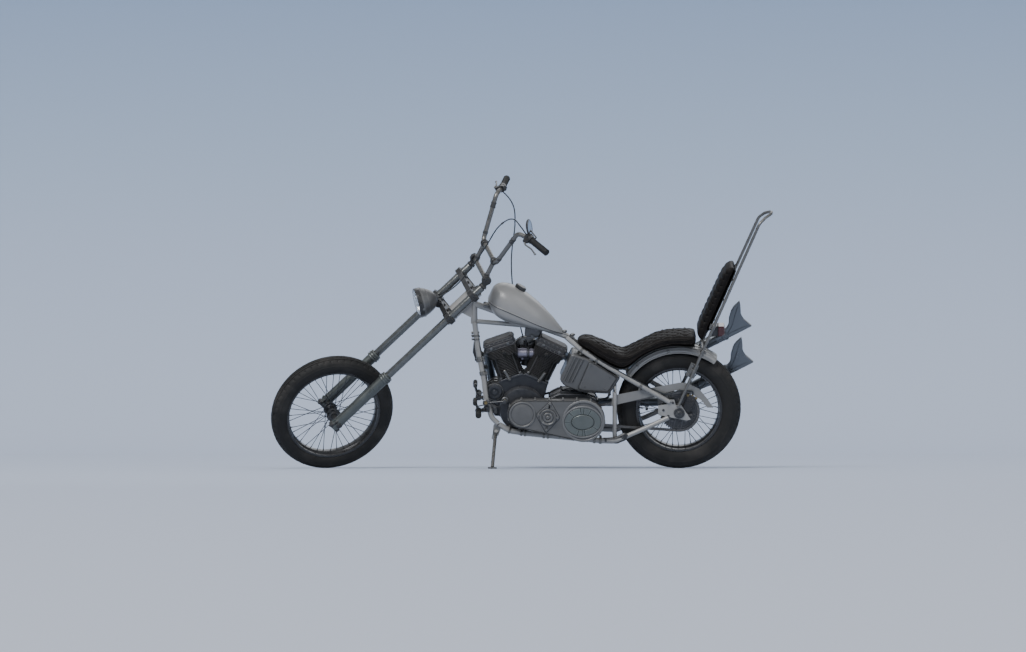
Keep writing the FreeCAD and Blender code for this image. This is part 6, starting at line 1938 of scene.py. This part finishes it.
# the pan under the foam
pan_v, pan_f = [], []
pxs = np.linspace(-84, 536, 60)
for x in pxs:
    w_ = float(np.interp(x, WX, WW)) - 12
    z = float(np.interp(x, lx, glow))
    for y, dz in ((-w_, 3.0), (w_, 3.0), (w_, 0.4), (-w_, 0.4)):
        pan_v.append(V3((x, y, z + dz)))
for i in range(len(pxs) - 1):
    for k in range(4):
        k2 = (k + 1) % 4
        pan_f.append((i * 4 + k, i * 4 + k2, (i + 1) * 4 + k2, (i + 1) * 4 + k))
pan_f += [(0, 1, 2, 3), tuple((len(pxs) - 1) * 4 + k for k in (3, 2, 1, 0))]
piece("seat_pan", [(pan_v, pan_f)], BIKE, "frame", M["pan"])

BU, BW, BF = V3((-0.3989, 0, 0.9170)), V3((0.9170, 0, 0.3989)), V3((-156.0, 0, 765.6))
SA, SB = [-72, -32, 0, 330, 368, 382], [2, 58, 62, 60, 48, 26]
loops = []
for a in np.concatenate([np.linspace(-56, -32, 7), np.linspace(-25, 350, 50), np.linspace(356, 377, 6)]):
    thick = float(np.interp(a, SA, SB))
    e_ = 1.0 - 0.12 * max(0.0, (-36 - a) / 20.0) - 0.16 * max(0.0, (a - 350) / 27.0)
    loops.append(soft_loop(BF + BU * a + BW * (thick / 2 + 1.5), Y, BW, (105 - 7) * (1 - (1 - e_) * 0.6), (thick / 2 - 6.5) * e_, 64, 0.40))


def back_relief(co, no):
    rel = co - np.array(BF)
    a = rel @ np.array(BU)
    b = rel @ np.array(BW)
    nf = no @ np.array(BW)
    y = co[:, 1]
    step = 36.0
    d = np.abs((a - 10.0 + step / 2) % step - step / 2)
    wrap = np.clip((nf + 0.25) / 0.5, 0, 1)
    ends = np.clip((a + 28) / 10, 0, 1) * np.clip((362 - a) / 8, 0, 1)
    roll = 2.0 * np.sqrt(np.clip(d / (step / 2), 0, 1)) - 3.6 * np.exp(-(d / 3.4) ** 2)
    line = -1.6 * np.exp(-((b - 16.0) / 2.2) ** 2) * np.clip((0.6 - np.abs(nf)) / 0.3, 0, 1)
    pinch = 0.5 * np.sin(y / 6.0) * np.exp(-(d / 6.0) ** 2)
    return wrap * ends * (roll + pinch) + line


back_o, back_tree = stuffed("backrest_cover", loops, 7.0, 6.4, back_relief, (), M["leather"], ["backrest_pad"])
welt, stitch = [], []
rowp = []
for s in (1, -1):
    line = [tuple(BF + BU * a + BW * 15 + Y * (s * 104)) for a in np.linspace(-34, 366, 80)]
    welt.append(tube([p for p, _ in snapped(back_tree, line, 1.0)], 2.5, 10))
    line = [tuple(BF + BU * a + BW * (float(np.interp(a, SA, SB)) - 6) + Y * (s * 101)) for a in np.linspace(-24, 360, 98)]
    welt.append(tube([p for p, _ in snapped(back_tree, line, 0.8)], 2.1, 10))
piece("backrest_welt", welt, BIKE, "frame", M["leather"], sharp=180)
# the plate behind the pad and its bolts
parts = []
plate = []
for y, a in ((-96, 8), (96, 8), (96, 352), (84, 366), (-84, 366), (-96, 352)):
    plate.append((y, a))
plate = corner_round(plate, 10, 4)
vs = [BF + BU * p[1] + BW * b + Y * p[0] for b in (0.4, 4.0) for p in plate]
n = len(plate)
fs = [tuple(range(n)), tuple(range(2 * n - 1, n - 1, -1))] + [(k, (k + 1) % n, n + (k + 1) % n, n + k) for k in range(n)]
parts.append((vs, fs))
for a in (70, 190, 310):
    for y in (-60, 60):
        parts.append(bolt(BF + BU * a + BW * 0.2 + Y * y, -BW, 7, 4))
piece("backrest_plate", parts, BIKE, "frame", M["pan"])

# ------------------------------------------------------------------ finish of the CAD pieces that stay
KEEP = {
    "steering_head": "frame", "backbone": "frame", "front_downtubes": "frame", "lower_rails": "frame", "seat_stays": "frame", "chain_stays": "frame",
    "cross_members": "frame", "rear_axle": "steel", "crankcase": "case", "cylinders": "fins", "rocker_boxes": "alloy", "carburettor": "manifold",
    "transmission": "case", "primary_cover": "primary", "oil_tank": "panel", "front_exhaust": "exhaust", "rear_exhaust": "exhaust", "fuel_tank": "tank",
    "seat": "leather", "rear_fender": "tank", "sissy_bar": "bar", "backrest_pad": "leather", "tail_light": "red", "drive_chain": "chain",
    "chain_guard": "guard", "brake_caliper": "black", "foot_controls": "black", "side_stand": "bar", "throttle_cable": "wire", "headlight_cable": "wire",
}
for name, key in KEEP.items():
    o = nodes[name]
    if not o.hide_render:
        o.data.materials.clear()
        o.data.materials.append(M[key])
        o.data.polygons.foreach_set("use_smooth", [True] * len(o.data.polygons))
        o.data.set_sharp_from_angle(angle=math.radians(32))

# ------------------------------------------------------------------ floor, backdrop and light
R0 = 90.0


def sheet(name, prof):
    vs = [(x, y, z) for y, z in prof for x in (-R0, R0)]
    fs = [(2 * i, 2 * i + 2, 2 * i + 3, 2 * i + 1) for i in range(len(prof) - 1)]
    me = bpy.data.meshes.new(name)
    me.from_pydata(vs, [], fs)
    me.polygons.foreach_set("use_smooth", [True] * len(me.polygons))
    ob = bpy.data.objects.new(name, me)
    bpy.context.scene.collection.objects.link(ob)
    return ob


floor = sheet("stage_floor", [(90.0, 0.0), (0.0, 0.0), (-90.0, 0.0)])
wall = sheet("stage_wall", [(-7.0 - 5.0 * math.sin(a), 5.0 - 5.0 * math.cos(a)) for a in np.linspace(0, math.radians(74), 16)])
floor_mat, sn, sl, sb = new_mat("stage_pale")
sg = sn.new("ShaderNodeNewGeometry")
ss = sn.new("ShaderNodeSeparateXYZ")
sl.new(sg.outputs["Position"], ss.inputs[0])


def graded(source, low, high):
    node = sn.new("ShaderNodeMapRange")
    node.inputs["From Min"].default_value = low
    node.inputs["From Max"].default_value = high
    sl.new(source, node.inputs["Value"])
    return node.outputs["Result"]


def blended(factor, a, b):
    node = sn.new("ShaderNodeMix")
    node.data_type = "RGBA"
    sl.new(factor, node.inputs["Factor"])
    for key, value in (("A", a), ("B", b)):
        if isinstance(value, tuple):
            node.inputs[key].default_value = (*value, 1)
        else:
            sl.new(value, node.inputs[key])
    return node.outputs["Result"]


# painted shading: the floor's colour lightens towards the camera, and the backdrop's darkens and turns bluer towards
# its top
near_far = blended(graded(ss.outputs["Y"], -7.0, 37.0), (0.455, 0.515, 0.635), (0.56, 0.60, 0.70))
sl.new(blended(graded(ss.outputs["Z"], 0.0, 3.0), near_far, (0.235, 0.320, 0.465)), sb.inputs["Base Color"])
sb.inputs["Roughness"].default_value = 0.9
sb.inputs["Specular IOR Level"].default_value = 0.05
# the wall is seen from its front only
clear = sn.new("ShaderNodeBsdfTransparent")
both_sides = sn.new("ShaderNodeMixShader")
sl.new(sg.outputs["Backfacing"], both_sides.inputs["Fac"])
sl.new(sb.outputs["BSDF"], both_sides.inputs[1])
sl.new(clear.outputs["BSDF"], both_sides.inputs[2])
sl.new(both_sides.outputs["Shader"], sn["Material Output"].inputs["Surface"])
floor.data.materials.append(floor_mat)
wall.data.materials.append(floor_mat)

world = bpy.data.worlds.new("studio")
bpy.context.scene.world = world
world.use_nodes = True
wn, wl = world.node_tree.nodes, world.node_tree.links
bg = wn["Background"]
tc = wn.new("ShaderNodeTexCoord")
sep = wn.new("ShaderNodeSeparateXYZ")
wl.new(tc.outputs["Generated"], sep.inputs[0])
ramp = wn.new("ShaderNodeValToRGB")
up = wn.new("ShaderNodeMapRange")
up.inputs["From Min"].default_value = -1.0
up.inputs["From Max"].default_value = 1.0
wl.new(sep.outputs["Z"], up.inputs["Value"])
wl.new(up.outputs["Result"], ramp.inputs["Fac"])
el = ramp.color_ramp.elements
el[0].position, el[0].color = 0.0, (0.46, 0.50, 0.56, 1)
el[1].position, el[1].color = 1.0, (1.0, 1.02, 1.06, 1)
e3 = ramp.color_ramp.elements.new(0.5)
e3.color = (0.46, 0.50, 0.57, 1)
e4 = ramp.color_ramp.elements.new(0.66)
e4.color = (0.62, 0.66, 0.72, 1)
wl.new(ramp.outputs["Color"], bg.inputs["Color"])
bg.inputs["Strength"].default_value = 0.62


def lamp(name, loc, target, size, power, color=(1, 1, 1)):
    ld = bpy.data.lights.new(name, "AREA")
    ld.shape = "RECTANGLE"
    ld.size, ld.size_y = size
    ld.energy = power
    ld.color = color
    o = bpy.data.objects.new(name, ld)
    bpy.context.scene.collection.objects.link(o)
    o.location = loc
    d = V3(target) - V3(loc)
    o.rotation_euler = d.to_track_quat("-Z", "Y").to_euler()
    return o


def sun(name, direction, strength, spread, color=(1, 1, 1)):
    ld = bpy.data.lights.new(name, "SUN")
    ld.energy, ld.angle, ld.color = strength, math.radians(spread), color
    o = bpy.data.objects.new(name, ld)
    bpy.context.scene.collection.objects.link(o)
    o.rotation_euler = (-V3(direction)).to_track_quat("-Z", "Y").to_euler()
    o.location = V3(direction) * 6
    return o


sun("key_sun", (0.55, 0.95, 1.0), 2.35, 30)
sun("fill_sun", (-0.9, 0.8, 0.55), 0.55, 50, (0.94, 0.97, 1.0))
sun("back_sun", (-0.3, -1.0, 0.8), 0.45, 40, (0.95, 0.97, 1.0))
lamp("key", (2.6, 4.2, 4.6), (0.1, 0, 0.6), (3.4, 2.6), 22)
